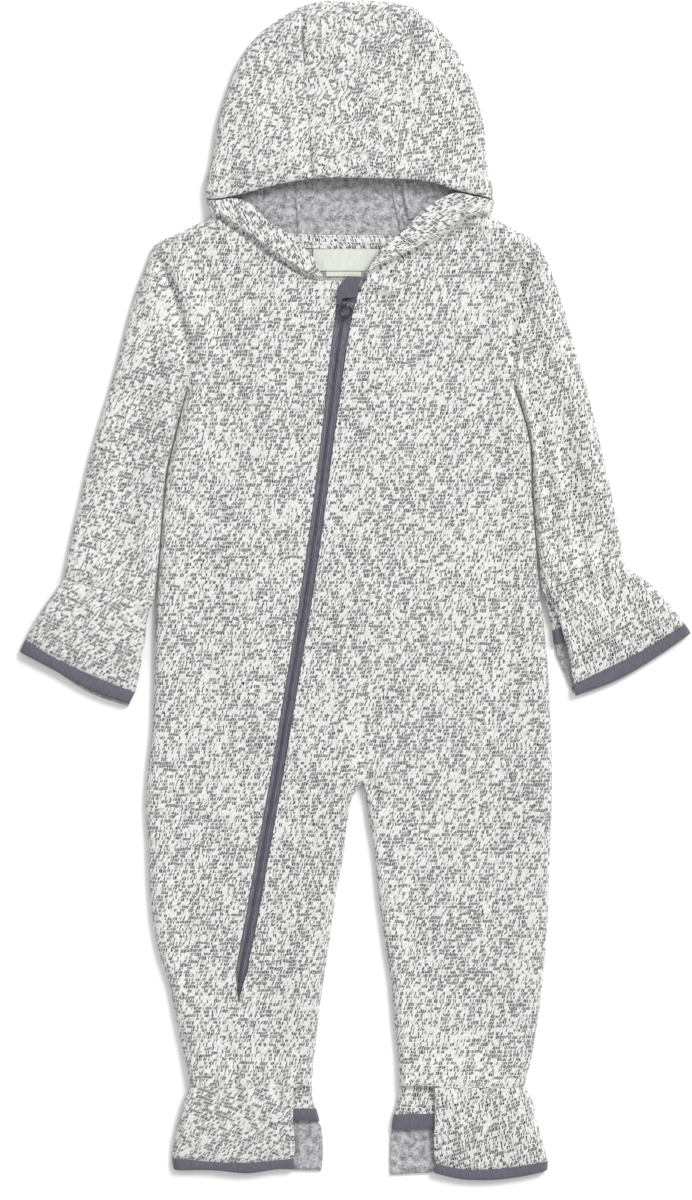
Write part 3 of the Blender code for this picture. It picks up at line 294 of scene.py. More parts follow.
def rungs(left, right, shares):
    shares = np.array(shares, float)[None, :, None]
    return left[:, None] * (1 - shares) + right[:, None] * shares


def steps(first, second):
    total = np.zeros(len(first))
    for edge in (first, second):
        length = lengths(edge)
        if length[-1] > 1e-6:
            total += length / length[-1]
    return total / total[-1]


def cells(index):
    # the four corners of each cell of a grid of numbered points
    return np.stack([index[:-1, :-1], index[1:, :-1], index[1:, 1:], index[:-1, 1:]], -1).reshape(-1, 4)


def patch(top, bottom, left, right):
    u = steps(top, bottom)[None, :, None]
    v = steps(left, right)[:, None, None]
    grid = ((1 - v) * top[None] + v * bottom[None] + (1 - u) * left[:, None] + u * right[:, None]
            - (1 - v) * ((1 - u) * top[0] + u * top[-1]) - v * ((1 - u) * bottom[0] + u * bottom[-1]))
    grid[0], grid[-1], grid[:, 0], grid[:, -1] = top, bottom, left, right
    return grid


def nearest(points, line):
    # distance to a line of straight runs, and the share of the line where that is
    start, run = line[:-1], np.diff(line, axis=0)
    part = np.clip(((points[..., None, :] - start) * run).sum(-1) / (run**2).sum(-1), 0, 1)
    gap = np.linalg.norm(points[..., None, :] - start - part[..., None] * run, axis=-1)
    best = gap.argmin(-1)[..., None]
    share = (best + np.take_along_axis(part, best, -1)) / len(run)
    return np.take_along_axis(gap, best, -1)[..., 0], share[..., 0]


def distance(points, line):
    return nearest(points, line)[0]


def eased(x):
    x = np.clip(x, 0, 1)
    return x * x * (3 - 2 * x)


def rounded(x):
    return np.sqrt(1 - (1 - np.clip(x, 0, 1)) ** 2)


dense = np.linspace(0, 1, 161)


# how far a place is from the garment's outline
def outlineLines():
    def count(line):
        return int(lengths(np.array(line, float)[:, :2])[-1] / cloth["outlineStep"]) + 2
    lines = [along(crownLine, np.linspace(0, 1, count(crownLine)))]
    for side in ("left", "right"):
        for line in (bodySide[side], legInseam[side]):
            lines.append(level(line, np.linspace(line[0][1], line[-1][1], count(line))))
        for line in (shoulderSeam[side], sleeveCut[side]["outer"], sleeveCut[side]["inner"], hoodSide[side],
                     hoodCorner[side]):
            lines.append(along(line, np.linspace(0, 1, count(line))))
        for under, outer, inner in (("wrist_" + side, sleeveCut[side]["outer"], sleeveCut[side]["inner"]),
                                    ("ankle_" + side, bodySide[side], legInseam[side])):
            for edge, above in (("outer", outer), ("inner", inner)):
                cut = underCut[under]
                lines.append(rungs(np.array([above[-1]], float), along(cut[edge], [0]),
                                   np.linspace(0, 1, 16))[0])
                lines.append(along(cut[edge], np.linspace(0, cut["short"][1], count(cut[edge]))))
    return lines


def outlineTree():
    lines = outlineLines()
    samples = np.vstack(lines)
    before, after, at = [], [], 0
    for line in lines:
        index = np.arange(at, at + len(line))
        before += list(np.maximum(index - 1, at))
        after += list(np.minimum(index + 1, at + len(line) - 1))
        at += len(line)
    tree = kdtree.KDTree(len(samples))
    for k, (x, y) in enumerate(samples):
        tree.insert((x, y, 0), k)
    tree.balance()
    return tree, samples, np.array(before), np.array(after)


sideTree, sideSamples, sideBefore, sideAfter = outlineTree()


def fromSide(points):
    flat = points.reshape(-1, 2)
    hit = np.array([sideTree.find((x, y, 0))[1] for x, y in flat])
    best = np.full(len(flat), 1e9)
    for other in (sideBefore[hit], sideAfter[hit]):
        start = sideSamples[hit]
        run = sideSamples[other] - start
        long = np.maximum((run**2).sum(1), 1e-12)
        part = np.clip(((flat - start) * run).sum(1) / long, 0, 1)[:, None]
        best = np.minimum(best, np.linalg.norm(flat - start - part * run, axis=1))
    return np.maximum(best - cloth["onSide"], 0).reshape(points.shape[:-1])


# heights of the layers
def folds(points, table):
    height = np.zeros(points.shape[:-1])
    for x0, y0, x1, y1, half, rise in table:
        far = distance(points, np.array([(x0, y0), (x1, y1)], float)) / half
        height += rise * eased(1 - far)
    return height


def gatherLine(outer, inner, into):
    outer, inner = np.array(outer, float), np.array(inner, float)
    run = (inner - outer) / np.linalg.norm(inner - outer)
    across = np.array((-run[1], run[0]))
    return {"outer": outer, "run": run, "into": across * np.sign(across @ np.array(into, float)),
            "length": np.linalg.norm(inner - outer)}


gather = {
    "wrist_left": gatherLine((-206, 435), (-141, 418), (0, -1)),
    "wrist_right": gatherLine((198, 443), (138, 427), (0, -1)),
    "ankle_left": gatherLine((-115, cloth["ankle"]), (-28, cloth["ankle"]), (0, -1)),
    "ankle_right": gatherLine((126, cloth["ankle"]), (36, cloth["ankle"]), (0, -1))}


def pastGather(points, limb):
    return ((points - gather[limb]["outer"]) * gather[limb]["into"]).sum(-1)


def alongGather(points, limb):
    return ((points - gather[limb]["outer"]) * gather[limb]["run"]).sum(-1)


def waves(points, limb):
    place = alongGather(points, limb)
    away = pastGather(points, limb)
    wave = (np.cos(2 * pi * place / cloth["waveLength"] + 0.8)
            + 0.5 * np.cos(2 * pi * place / (0.62 * cloth["waveLength"]) + 2.1))
    return 0.7 * cloth["waveHeight"] * wave * np.exp(-(away / 15) ** 2)


def gathered(points, top, limb, short):
    if short:
        return np.full(points.shape[:-1], cloth["shortTop"])
    away = pastGather(points, limb)
    swell = eased(1 + away / cloth["gatherRise"])
    return top + (cloth["gatherTop"] - top) * swell + waves(points, limb)


def rolled(top, far, side=cloth["sideHeight"], roll=cloth["sideRoll"]):
    # from the height of a side up to the layer's own height
    return side + (top - side) * rounded(far / roll)


def laidTop(far):
    sag = eased((far - cloth["sideRoll"]) / (cloth["sagReach"] - cloth["sideRoll"]))
    return cloth["edgeTop"] + (cloth["middleTop"] - cloth["edgeTop"]) * sag


def frontTop(points, far, short=False):
    top = np.maximum(laidTop(far) + folds(points, frontFolds), cloth["lowestTop"])
    low = points[..., 1] < cloth["ankle"] + cloth["gatherRise"]
    left = points[..., 0] < 4
    end = np.where(left, gathered(points, top, "ankle_left", short), gathered(points, top, "ankle_right", short))
    return np.where(low, end, top)


def sleeveTop(side):
    def top(points, far, short=False):
        height = laidTop(far) + folds(points, frontFolds) + folds(points, sleeveFolds[side])
        return gathered(points, np.maximum(height, cloth["lowestTop"]), "wrist_" + side, short)
    return top


def hoodTop(points, far, short=False):
    middle = distance(points, along(faceCentre, dense))
    return cloth["hoodTop"] + (cloth["hoodMouth"] - cloth["hoodTop"]) * eased(1 - middle / 75)


def bandTop(side):
    seam = along(neckSeam[side], dense)

    def top(points, far, short=False):
        return frontTop(points, far) + cloth["bandRise"] * eased(distance(points, seam) / cloth["bandReach"])
    return top


# lines written by the photograph's own grid: millimetres for each step of it, and where paper's origin is
paper = {"scale": 0.72, "middle": 350, "foot": 1180}


def onPaper(line):
    if isinstance(line, np.ndarray):
        return line
    return np.array([((x - paper["middle"]) * paper["scale"], (paper["foot"] - y) * paper["scale"])
                     for x, y in line])


# small pulls beside the zip, where its tape draws the cloth up: place, step to the far end, half width
# and height
zipPulls = [
    (331, 346, -13, 6, 2.6, .55), (326, 392, -17, 6, 3, -.5), (322, 430, -14, 11, 2.8, .5),
    (316, 486, -16, 4, 3, -.5), (309, 534, -15, 9, 2.8, .5), (302, 590, -15, 4, 3.2, -.5),
    (297, 626, -16, 11, 2.8, .5), (288, 676, -15, 4, 3.2, -.5), (281, 728, -17, 10, 3, .5),
    (271, 784, -15, 4, 3.2, -.5), (263, 832, -16, 11, 3, .5), (254, 888, -16, 4, 3.2, -.5),
    (342, 366, 15, -4, 2.8, .55), (337, 412, 16, 8, 3, -.5), (331, 458, 15, -2, 2.8, .5),
    (325, 506, 17, 9, 3, -.5), (318, 556, 16, -2, 2.8, .5), (311, 612, 17, 10, 3.2, -.5),
    (304, 655, 16, -3, 2.8, .5), (297, 706, 17, 10, 3.2, -.5), (289, 752, 17, -3, 3, .5),
    (280, 808, 16, 9, 3.2, -.5), (271, 862, 16, -2, 3, .5), (262, 910, 15, 10, 3.2, -.5)]

# creases, placed on the photograph: line, half width and height in mm, where it is highest,
# and how soon it fades. A negative height is a valley. Soft wide rises stand beside every crease.
creases = {
    "front": [
        # armholes: the ditch of the seam, then pulls that leave it
        ([(153, 250), (167, 276), (184, 336), (188, 366), (187, 388)], 2.6, -1.5, .5, 6),
        ([(539, 250), (525, 276), (516, 302), (513, 350), (515, 388)], 2.6, -1.5, .5, 6),
        ([(170, 262), (192, 300), (205, 345), (203, 392)], 7, 1.3, .4, 2),
        ([(190, 300), (199, 338), (222, 384)], 4.5, -1.0, .3, 1.6),
        ([(188, 352), (212, 388), (222, 440)], 5, -.9, .2, 1.4),
        ([(187, 380), (196, 424), (190, 486)], 5.5, .9, .2, 1.3),
        ([(182, 392), (178, 440), (181, 500)], 4.5, -.8, .2, 1.3),
        ([(522, 262), (503, 300), (495, 345), (500, 392)], 7, 1.3, .4, 2),
        ([(514, 312), (500, 345), (480, 372)], 4.5, -1.0, .3, 1.6),
        ([(513, 352), (494, 392), (489, 450)], 5, -.9, .2, 1.4),
        ([(515, 384), (505, 430), (512, 482)], 5.5, .9, .2, 1.3),
        ([(518, 402), (521, 445), (516, 500)], 4, -.7, .2, 1.3),
        # chest and belly, long and soft
        ([(240, 300), (262, 352), (268, 420), (256, 486)], 11, .8, .5, 2),
        ([(272, 330), (290, 392), (288, 470)], 8, -.6, .5, 2),
        ([(398, 300), (384, 352), (382, 424), (392, 500)], 10, .7, .5, 2),
        ([(430, 290), (444, 352), (438, 432)], 9, -.55, .5, 2),
        ([(236, 520), (250, 590), (244, 668)], 12, .7, .5, 2),
        ([(206, 560), (214, 640), (208, 716)], 9, -.6, .5, 2),
        ([(356, 520), (372, 584), (366, 650)], 10, .6, .5, 2),
        ([(424, 540), (434, 620), (424, 700)], 11, -.6, .5, 2),
        ([(478, 520), (486, 600), (480, 690)], 10, .7, .5, 2),
        *[([(x, y), (x + across, y + down)], half, rise, .2, 1.2)
          for x, y, across, down, half, rise in zipPulls],
        ([(238, 1004), (233, 1030), (236, 1062)], 4, .9, .1, 1.1),
        # crotch and the inside of each leg
        ([(362, 786), (372, 794), (379, 804)], 3.2, -1.6, .4, 1.6),
        ([(357, 790), (349, 806), (346, 832)], 4.2, -1.0, .2, 1.3),
        ([(364, 782), (352, 758), (336, 742)], 5, .9, .2, 1.3),
        ([(366, 781), (386, 762), (410, 752)], 5, .9, .2, 1.3),
        ([(361, 779), (362, 744), (368, 712)], 4.5, -.9, .1, 1.2),
        ([(372, 800), (396, 826), (412, 872)], 7, .9, .3, 1.5),
        ([(352, 802), (330, 832), (318, 882)], 7, .9, .3, 1.5),
        ([(379, 830), (390, 880), (392, 940)], 5.5, -.8, .4, 1.8),
        ([(342, 838), (334, 892), (326, 948)], 5.5, -.8, .4, 1.8),
        # legs
        ([(192, 820), (205, 900), (202, 984)], 10, .8, .5, 2),
        ([(176, 860), (186, 930), (190, 1000)], 6, -.6, .5, 2),
        ([(300, 900), (296, 970), (288, 1040)], 8, .7, .5, 2),
        ([(452, 830), (446, 910), (452, 990)], 10, .8, .5, 2),
        ([(494, 800), (497, 880), (490, 968)], 8, -.7, .5, 2),
        ([(518, 870), (515, 944), (508, 1010)], 6, .6, .5, 2),
        ([(414, 930), (412, 990), (416, 1050)], 7, -.6, .5, 2),
        ([(214, 214), (246, 236.5), (279, 260), (314, 280)], 1.7, -1.9, .5, 9),
        ([(477, 214), (453, 231), (422, 249), (394, 262), (372, 272)], 1.7, -1.9, .5, 9),
        ([(410, 283), (399, 290), (386, 290), (372, 283)], 3.4, 1.2, .5, 2),
        ([(420, 276), (402, 291), (382, 298), (366, 292)], 4.2, -.8, .5, 2)],
    "sleeve_left": [
        ([(150, 276), (146, 330), (131, 398)], 7, .9, .4, 1.8),
        ([(176, 330), (166, 392), (160, 462)], 6, 1.0, .4, 1.8),
        ([(184, 368), (174, 410), (171, 470)], 3.6, -1.1, .2, 1.5),
        ([(164, 300), (158, 350), (150, 392)], 4.5, -.8, .3, 1.6),
        ([(112, 400), (104, 462), (92, 520)], 7, .8, .5, 2),
        ([(134, 430), (124, 498), (112, 560)], 6.5, -.9, .5, 2),
        ([(152, 480), (146, 540), (139, 585)], 5.5, .9, .6, 2)],
    "sleeve_right": [
        ([(520, 345), (532, 412), (545, 480), (553, 540), (558, 584)], 5.0, -1.5, .4, 3),
        ([(541, 290), (553, 350), (572, 420)], 8, .9, .4, 1.8),
        ([(518, 372), (526, 430), (530, 500)], 3.8, 1.0, .3, 1.6),
        ([(527, 300), (536, 344), (541, 392)], 4, -.8, .3, 1.6),
        ([(580, 410), (592, 470), (604, 528)], 7, .8, .5, 2),
        ([(562, 430), (574, 500), (586, 560)], 6, -.7, .5, 2),
        ([(541, 588), (549, 600), (557, 613)], 2.6, -1.1, .4, 2)],
    "hood": [
        ([(301, 7), (305, 60), (309, 125), (312, 178)], 1.7, -.75, .5, 12),
        ([(415, 8), (407, 62), (394, 125), (386, 178)], 1.7, -.75, .5, 12),
        ([(209, 186), (236, 182), (268, 172), (312, 158), (350, 153), (388, 158), (432, 170), (466, 180),
          (491, 186)], 1.5, -.5, .5, 12),
        ([(236, 70), (252, 110), (246, 160)], 9, .8, .5, 2),
        ([(262, 30), (276, 84), (274, 138)], 8, -.7, .5, 2),
        ([(326, 20), (332, 74), (326, 130)], 7, .7, .5, 2),
        ([(360, 18), (356, 70), (362, 132)], 6, -.6, .5, 2),
        ([(386, 24), (378, 70), (374, 120)], 5, .6, .5, 2),
        ([(440, 30), (432, 90), (440, 150)], 8, .8, .5, 2),
        ([(468, 76), (458, 120), (464, 168)], 7, -.7, .5, 2),
        ([(222, 120), (230, 150), (226, 178)], 5, .7, .5, 2)],
    "back": [
        ([(230, 300), (300, 330), (380, 322), (470, 298)], 8, .9, .5, 2),
        ([(200, 470), (290, 488), (360, 470)], 9, .8, .5, 2),
        ([(400, 560), (452, 590), (510, 584)], 9, .8, .5, 2),
        ([(220, 690), (300, 706), (352, 760)], 8, .9, .6, 2),
        ([(376, 752), (440, 700), (506, 690)], 8, .9, .4, 2),
        ([(200, 900), (262, 912), (316, 896)], 7, .8, .5, 2),
        ([(410, 930), (462, 944), (512, 930)], 7, .8, .5, 2),
        ([(260, 60), (352, 74), (446, 60)], 9, .8, .5, 2),
        ([(320, 120), (360, 140), (400, 118)], 7, .7, .5, 2),
        ([(88, 520), (112, 532), (140, 520)], 6, .8, .5, 2),
        ([(562, 500), (586, 516), (612, 508)], 6, .8, .5, 2)]}

# gathers: place along the elastic, reach up the limb and down the cover, lean, half width, height
gathers = {
    "wrist_left": [(.06, 12, 9, .2, 2.2, -.9), (.14, 22, 14, .1, 2.8, 1.0), (.24, 15, 10, -.1, 2.0, -1.2),
                   (.33, 30, 17, .15, 3.0, .9), (.43, 18, 22, 0, 2.0, -1.3), (.53, 26, 13, -.1, 2.8, 1.1),
                   (.62, 14, 19, .1, 2.0, -1.1), (.72, 32, 12, -.2, 3.0, .9), (.82, 17, 15, -.1, 2.1, -1.2),
                   (.91, 23, 10, -.25, 2.6, 1.0)],
    "wrist_right": [(.07, 14, 10, -.2, 2.3, -1.0), (.17, 25, 12, -.1, 2.8, 1.0), (.26, 16, 18, .1, 2.0, -1.2),
                    (.37, 33, 14, -.1, 3.0, 1.0), (.46, 15, 11, .1, 2.0, -1.2), (.55, 24, 20, 0, 2.7, .9),
                    (.66, 18, 12, .1, 2.0, -1.3), (.75, 28, 16, .2, 2.9, 1.1), (.85, 15, 10, .2, 2.1, -1.1),
                    (.93, 20, 12, .3, 2.4, .9)],
    "ankle_left": [(.05, 12, 8, .2, 2.4, -.9), (.12, 26, 13, .1, 3.0, 1.0), (.2, 15, 17, -.1, 2.1, -1.2),
                   (.29, 34, 12, .1, 3.2, .9), (.37, 17, 10, 0, 2.1, -1.3), (.45, 24, 19, -.1, 2.8, 1.1),
                   (.54, 15, 12, .1, 2.1, -1.1), (.62, 36, 15, 0, 3.2, 1.0), (.71, 19, 11, -.1, 2.2, -1.3),
                   (.79, 26, 18, .1, 2.8, .9), (.88, 14, 12, -.2, 2.1, -1.1), (.95, 20, 9, -.2, 2.4, .9)],
    "ankle_right": [(.05, 13, 10, -.2, 2.4, -1.0), (.13, 28, 12, -.1, 3.0, 1.0), (.22, 16, 19, .1, 2.1, -1.2),
                    (.3, 22, 11, 0, 2.7, .9), (.38, 34, 13, -.1, 2.2, -1.1), (.47, 18, 16, .1, 3.0, 1.1),
                    (.56, 15, 10, 0, 2.1, -1.3), (.64, 30, 18, .1, 3.0, .9), (.73, 17, 12, -.1, 2.2, -1.2),
                    (.81, 25, 11, .1, 2.8, 1.0), (.9, 14, 13, .2, 2.1, -1.1), (.96, 18, 9, .2, 2.4, .8)]}

# folds of the covers alone, written as the creases are
coverCreases = {
    "wrist_left": [
        ([(132, 610), (144, 604), (156, 597)], 2.6, 1.6, .7, 2),
        ([(133, 619), (145, 613), (157, 603)], 1.8, -2.6, .8, 3),
        ([(100, 620), (84, 650), (66, 672)], 5, .8, .4, 2),
        ([(118, 628), (112, 662), (104, 684)], 5, -.8, .4, 2),
        ([(70, 622), (52, 650)], 4, -.7, .4, 2)],
    "wrist_right": [
        ([(541, 587), (549, 598), (558, 614)], 1.7, -2.6, .4, 3),
        ([(547, 584), (556, 596), (566, 612)], 3, 1.3, .4, 2),
        ([(590, 600), (606, 626), (616, 650)], 5, .8, .4, 2),
        ([(576, 604), (580, 640), (588, 668)], 5, -.8, .4, 2),
        ([(622, 596), (640, 622)], 4, -.7, .4, 2)],
    "ankle_left": [
        ([(210, 1094), (204, 1124), (196, 1152)], 5, .8, .4, 2),
        ([(236, 1096), (238, 1130), (232, 1156)], 5, -.9, .4, 2),
        ([(270, 1094), (276, 1126), (274, 1154)], 5, .8, .4, 2)],
    "ankle_right": [
        ([(460, 1096), (458, 1126), (462, 1156)], 5, .8, .4, 2),
        ([(486, 1096), (492, 1128), (496, 1156)], 5, -.9, .4, 2),
        ([(512, 1094), (522, 1122), (530, 1150)], 5, .8, .4, 2)]}


def gatherCreases(limb):
    cut, rows = gather[limb], []
    for share, up, down, lean, half, rise in gathers[limb]:
        at = cut["outer"] + cut["run"] * share * cut["length"]
        side = cut["run"] * lean
        line = np.array([at - (cut["into"] - side) * up, at, at + (cut["into"] + side) * down])
        rows.append((line, half, rise, up / (up + down), 1.1))
    return rows


def creased(points, rows):
    height = np.zeros(points.shape[:-1])
    for line, half, rise, peak, fade in rows:
        run = along(onPaper(line), np.linspace(0, 1, 15))
        near = ((points > run.min(0) - 3.6 * half) & (points < run.max(0) + 3.6 * half)).all(-1)
        if not near.any():
            continue
        far, share = nearest(points[near], run)
        fall = eased(np.minimum(share / peak, (1 - share) / (1 - peak)) * fade)
        uneven = 1 + 0.22 * np.sin(8.3 * share + 0.37 * run[0, 0]) + 0.12 * np.sin(19 * share + run[0, 1])
        d = far / half
        height[near] += rise * fall * uneven * (np.exp(-d * d) - 0.32 * np.exp(-(d - 1.9) ** 2))
    return height


def rippled(points, strength=1.0):
    height = np.empty(points.shape[:-1])
    flat = height.reshape(-1)
    for k, (x, y) in enumerate(points.reshape(-1, 2)):
        flat[k] = (0.75 * noise.noise((x / 52, y / 66, 3.1)) + 0.42 * noise.noise((x / 21, y / 27, 7.7))
                   + 0.2 * noise.noise((x / 9, y / 9, 1.3)))
    return strength * flat.reshape(points.shape[:-1])


topCreases = sum((gatherCreases(limb) for limb in gather),
                 creases["front"] + creases["sleeve_left"] + creases["sleeve_right"])


def elasticDip(points):
    total = 0
    for limb, cut in gather.items():
        dip = np.exp(-((pastGather(points, limb) - cloth["dipAt"]) / cloth["dipWidth"]) ** 2)
        place = alongGather(points, limb) / cut["length"]
        total = total - cloth["dipDepth"] * dip * eased(1.2 - np.abs(place - 0.5) * 1.6)
    return total


def topLift(points, far):
    return (creased(points, topCreases) + elasticDip(points) + rippled(points)) * eased(far / 7)


hoodCreases = creases["hood"] + [(np.array(frontSeam[side], float), 1.2, -0.7, .5, 8) for side in frontSeam]


def hoodLift(points, far):
    return (creased(points, hoodCreases) + rippled(points, 1.1)) * eased(far / 7)


def fromZip(points):
    heights = np.clip(points[:, 1], cloth["zipEnd"], 649)
    return np.hypot(points[:, 0] - level(zipLine, heights)[:, 0], points[:, 1] - heights)


def backLift(points, far):
    grooves = creased(points, creases["back"]) + 0.6 * rippled(points + 400)
    return np.clip(grooves, 0, 1.3) * eased((far - 6) / 9)


# cloth: a shell is a list of grids, each with its lift, its piece, the grain's turn and whether it faces down
def addGrid(shell, piece, grid, lift, grain=0.0, flip=False):
    shell.append((grid, lift, piece, radians(grain), flip))


def addTop(shell, piece, plan, grain=0.0, flip=False, top=frontTop, short=False, lift=topLift, crown=0):
    far = fromSide(plan)
    sides = [cloth["shortSide"]] * 2 if short else []
    rise = rolled(top(plan, far, short) + crown, far, *sides)
    addGrid(shell, piece, np.dstack([plan, rise]), lift(plan, far), grain, flip)


def addUnder(shell, piece, plan, grain=0.0, flip=False, short=None):
    far = fromSide(plan)
    if short is None:
        short = np.zeros(len(plan), bool)
    side = np.where(short, cloth["shortSide"], cloth["sideHeight"])[:, None]
    roll = np.where(short, cloth["shortSide"], cloth["sideRoll"])[:, None]
    grid = np.dstack([plan, side * (1 - rounded(far / roll))])
    addGrid(shell, piece, grid, backLift(plan, far), grain, flip)


def mergeGrids(shell):
    points = np.concatenate([grid.reshape(-1, 3) for grid, *_ in shell])
    lifts = np.concatenate([lift.reshape(-1) for _, lift, *_ in shell])
    _, first, number = np.unique(np.round(points, 3) + 0.0, axis=0, return_index=True, return_inverse=True)
    number, at, quads, owner, grain = number.ravel(), 0, [], [], []
    for grid, _, piece, angle, flip in shell:
        rows, columns = grid.shape[:2]
        ids = number[at:at + rows * columns].reshape(rows, columns)
        at += rows * columns
        quad = cells(ids)
        quads.append(quad[:, ::-1] if flip else quad)
        owner += [piece] * len(quad)
        grain += [angle] * len(quad)
    return points[first], lifts[first], np.concatenate(quads), np.array(owner), np.array(grain)


def vertexNormals(points, quads):
    diagonals = np.cross(points[quads[:, 2]] - points[quads[:, 0]], points[quads[:, 3]] - points[quads[:, 1]])
    unit = diagonals / np.maximum(np.linalg.norm(diagonals, axis=1), 1e-9)[:, None]
    total, count = np.zeros_like(points), np.zeros(len(points))
    for k in range(4):
        np.add.at(total, quads[:, k], unit)
        np.add.at(count, quads[:, k], 1)
    length = np.linalg.norm(total, axis=1)
    return unit, total / np.maximum(length, 1e-9)[:, None], length / np.maximum(count, 1)


def buildShell(shell, finishes, swell):
    points, lifts, quads, owner, grain = mergeGrids(shell)
    unit, sewn, agree = vertexNormals(points, quads)
    faces = [tuple(dict.fromkeys(quad)) for quad in quads.tolist()]
    owners = {}
    for piece, face in zip(owner, faces):
        if len(face) > 2:
            for edge in zip(face, face[1:] + face[:1]):
                owners[edge] = piece
    made = {}
    for piece in finishes:
        beside = ("front", "back") if piece in ("front", "back") else (piece,)
        own = vertexNormals(points, quads[np.isin(owner, beside)])[1]
        normals = np.where(agree[:, None] < cloth["pinched"], own, sewn)
        mine = [k for k in np.flatnonzero(owner == piece) if len(faces[k]) > 2]
        made[piece] = wallPiece(piece, [faces[k] for k in mine], unit[mine], grain[mine], points, lifts, normals,
                                owners, swell.get(piece, 0), finishes[piece])
    return made


def wallPiece(piece, faces, unit, grain, points, lifts, normals, owners, swell, finish):
    edges = {edge: k for k, face in enumerate(faces) for edge in zip(face, face[1:] + face[:1])}
    rim = [edge for edge in edges if edge[::-1] not in edges]
    inward, count = np.zeros_like(points), np.zeros(len(points))
    outward, bare = np.zeros_like(points), set()
    for start, end in rim:
        side = np.cross(unit[edges[start, end]], points[end] - points[start])
        side /= max(np.linalg.norm(side), 1e-9)
        if (end, start) in owners:
            inward[[start, end]] += side
            count[[start, end]] += 1
        else:
            outward[[start, end]] -= side
            bare.update((start, end))
    shift = inward * (cloth["seamGap"] / 2 * count / np.maximum((inward**2).sum(1), 1))[:, None]
    outward /= np.maximum(np.linalg.norm(outward, axis=1), 1e-9)[:, None]
    used = np.array(sorted({corner for face in faces for corner in face}))
    place = np.full(len(points), -1)
    place[used] = np.arange(len(used))
    outside = (points + shift + normals * swell)[used]
    outside[:, 2] = np.maximum(outside[:, 2] + lifts[used], 0)
    inside = (points + shift - normals * cloth["wall"])[used]
    size = len(used)
    bare = sorted(bare)
    middle = {corner: 2 * size + k for k, corner in enumerate(bare)}
    bulge = np.full(len(bare), cloth["edgeBulge"])
    if piece == "front":
        bulge[fromZip(points[bare, :2]) < cloth["zipSide"]] = cloth["zipBulge"]
    half = (outside[place[bare]] + inside[place[bare]]) / 2 + outward[bare] * bulge[:, None]
    half[:, 2] = np.maximum(half[:, 2], 0)
    plan = points[used, :2] + normals[used, :2] * cloth["grainTurn"]
    out = [[int(place[c]) for c in face] for face in faces]
    built = out + [[size + c for c in reversed(face)] for face in out]
    flat = [[plan[c] for c in face] for face in out] + [[plan[c] for c in reversed(face)] for face in out]
    angles = list(grain) * 2
    slots = [0] * len(out) + [1] * len(out)
    for a, b in rim:
        pa, pb = int(place[a]), int(place[b])
        lean = outward[[a, b], :2] * cloth["rimTurn"]
        if (b, a) in owners:
            ring = [(pb, pb), (pa, pa), (middle.get(a), pa), (size + pa, pa), (size + pb, pb), (middle.get(b), pb)]
            ring = [pair for pair in ring if pair[0] is not None]
            built.append([corner for corner, _ in ring])
            flat.append([plan[spot] for _, spot in ring])
            angles.append(grain[edges[a, b]])
            slots.append(0)
        else:
            built += [[pb, pa, middle[a], middle[b]], [middle[b], middle[a], size + pa, size + pb]]
            flat += [[plan[pb], plan[pa], plan[pa] + lean[0], plan[pb] + lean[1]],
                     [plan[pb] + lean[1], plan[pa] + lean[0], plan[pa] + 2 * lean[0], plan[pb] + 2 * lean[1]]]
            angles += [grain[edges[a, b]]] * 2
            slots += [0, 1]
    spots = np.array([spot for face in flat for spot in face])
    if piece == "hood_center":
        spots = spots + np.sin(spots[:, ::-1] * cloth["waveStep"]) * cloth["waveHigh"]
    turn = np.repeat(np.array(angles), [len(face) for face in built])
    uv = np.column_stack([spots[:, 0] * np.cos(turn) + spots[:, 1] * np.sin(turn),
                          spots[:, 1] * np.cos(turn) - spots[:, 0] * np.sin(turn)])
    return meshPiece(piece, np.vstack([outside, inside, half]), built, uv, slots, finish)


def meshPiece(name, points, faces, uv=None, slots=None, finish=(), smoothBelow=1.15):
    mesh = bpy.data.meshes.new(name + "_cloth")
    mesh.from_pydata(((points + paperShift) / 1000).tolist(), [], faces)
    if uv is not None:
        layer = mesh.uv_layers.new(name="grain")
        layer.data.foreach_set("uv", np.asarray(uv, float).ravel())
    for material in finish:
        mesh.materials.append(material)
    if slots is not None:
        mesh.polygons.foreach_set("material_index", slots)
    mesh.shade_smooth()
    mesh.set_sharp_from_angle(angle=smoothBelow)
    made = bpy.data.objects.new(name + "_piece", mesh)
    bpy.context.scene.collection.objects.link(made)
    return made


# the pieces, row by row
columns = {name: fine(shares) for name, shares in spacing.items()}
torso, leg = fine(torsoRows, 8), fine(legRows, 6)


def frontStrips(heights, inner):
    # left of the zip, from the zip to the left inner line, and from the right inner line to the right side
    left, right = (level(line, heights) for line in inner)
    return (rungs(level(bodySide["left"], heights), zipEdge(heights, -1), columns["left"]),
            rungs(zipEdge(heights, 1), left, columns["middle"]),
            rungs(right, level(bodySide["right"], heights), columns["right"]))


def chestFront(shell):
    waist, middle, rest = (strip[0] for strip in frontStrips([cloth["underarm"]], [legCentre] * 2))
    for side, sign in (("left", -1), ("right", 1)):
        armhole = along(sleeveCut[side]["armhole"], columns["armholeFront"])
        shoulder = along(shoulderSeam[side], columns["shoulder"])[::-1]
        neck = along(neckSeam[side], columns["neck"])
        zipTop = neckSeam[side][-1][1] if side == "right" else 647.0
        zipSide = zipEdge(between(columns["armholeFront"], zipTop, cloth["underarm"]), sign)
        top = np.vstack([shoulder, neck[1:]])
        if side == "left":
            last = rungs(neck[-1:], zipSide[:1], fine([0, 1]))[0]
            addTop(shell, "front", patch(np.vstack([top, last[1:]]), waist, armhole, zipSide))
        else:
            zipSide[0] = neck[-1]
            addTop(shell, "front", patch(top[::-1], np.vstack([middle, rest[1:]]), zipSide, armhole))


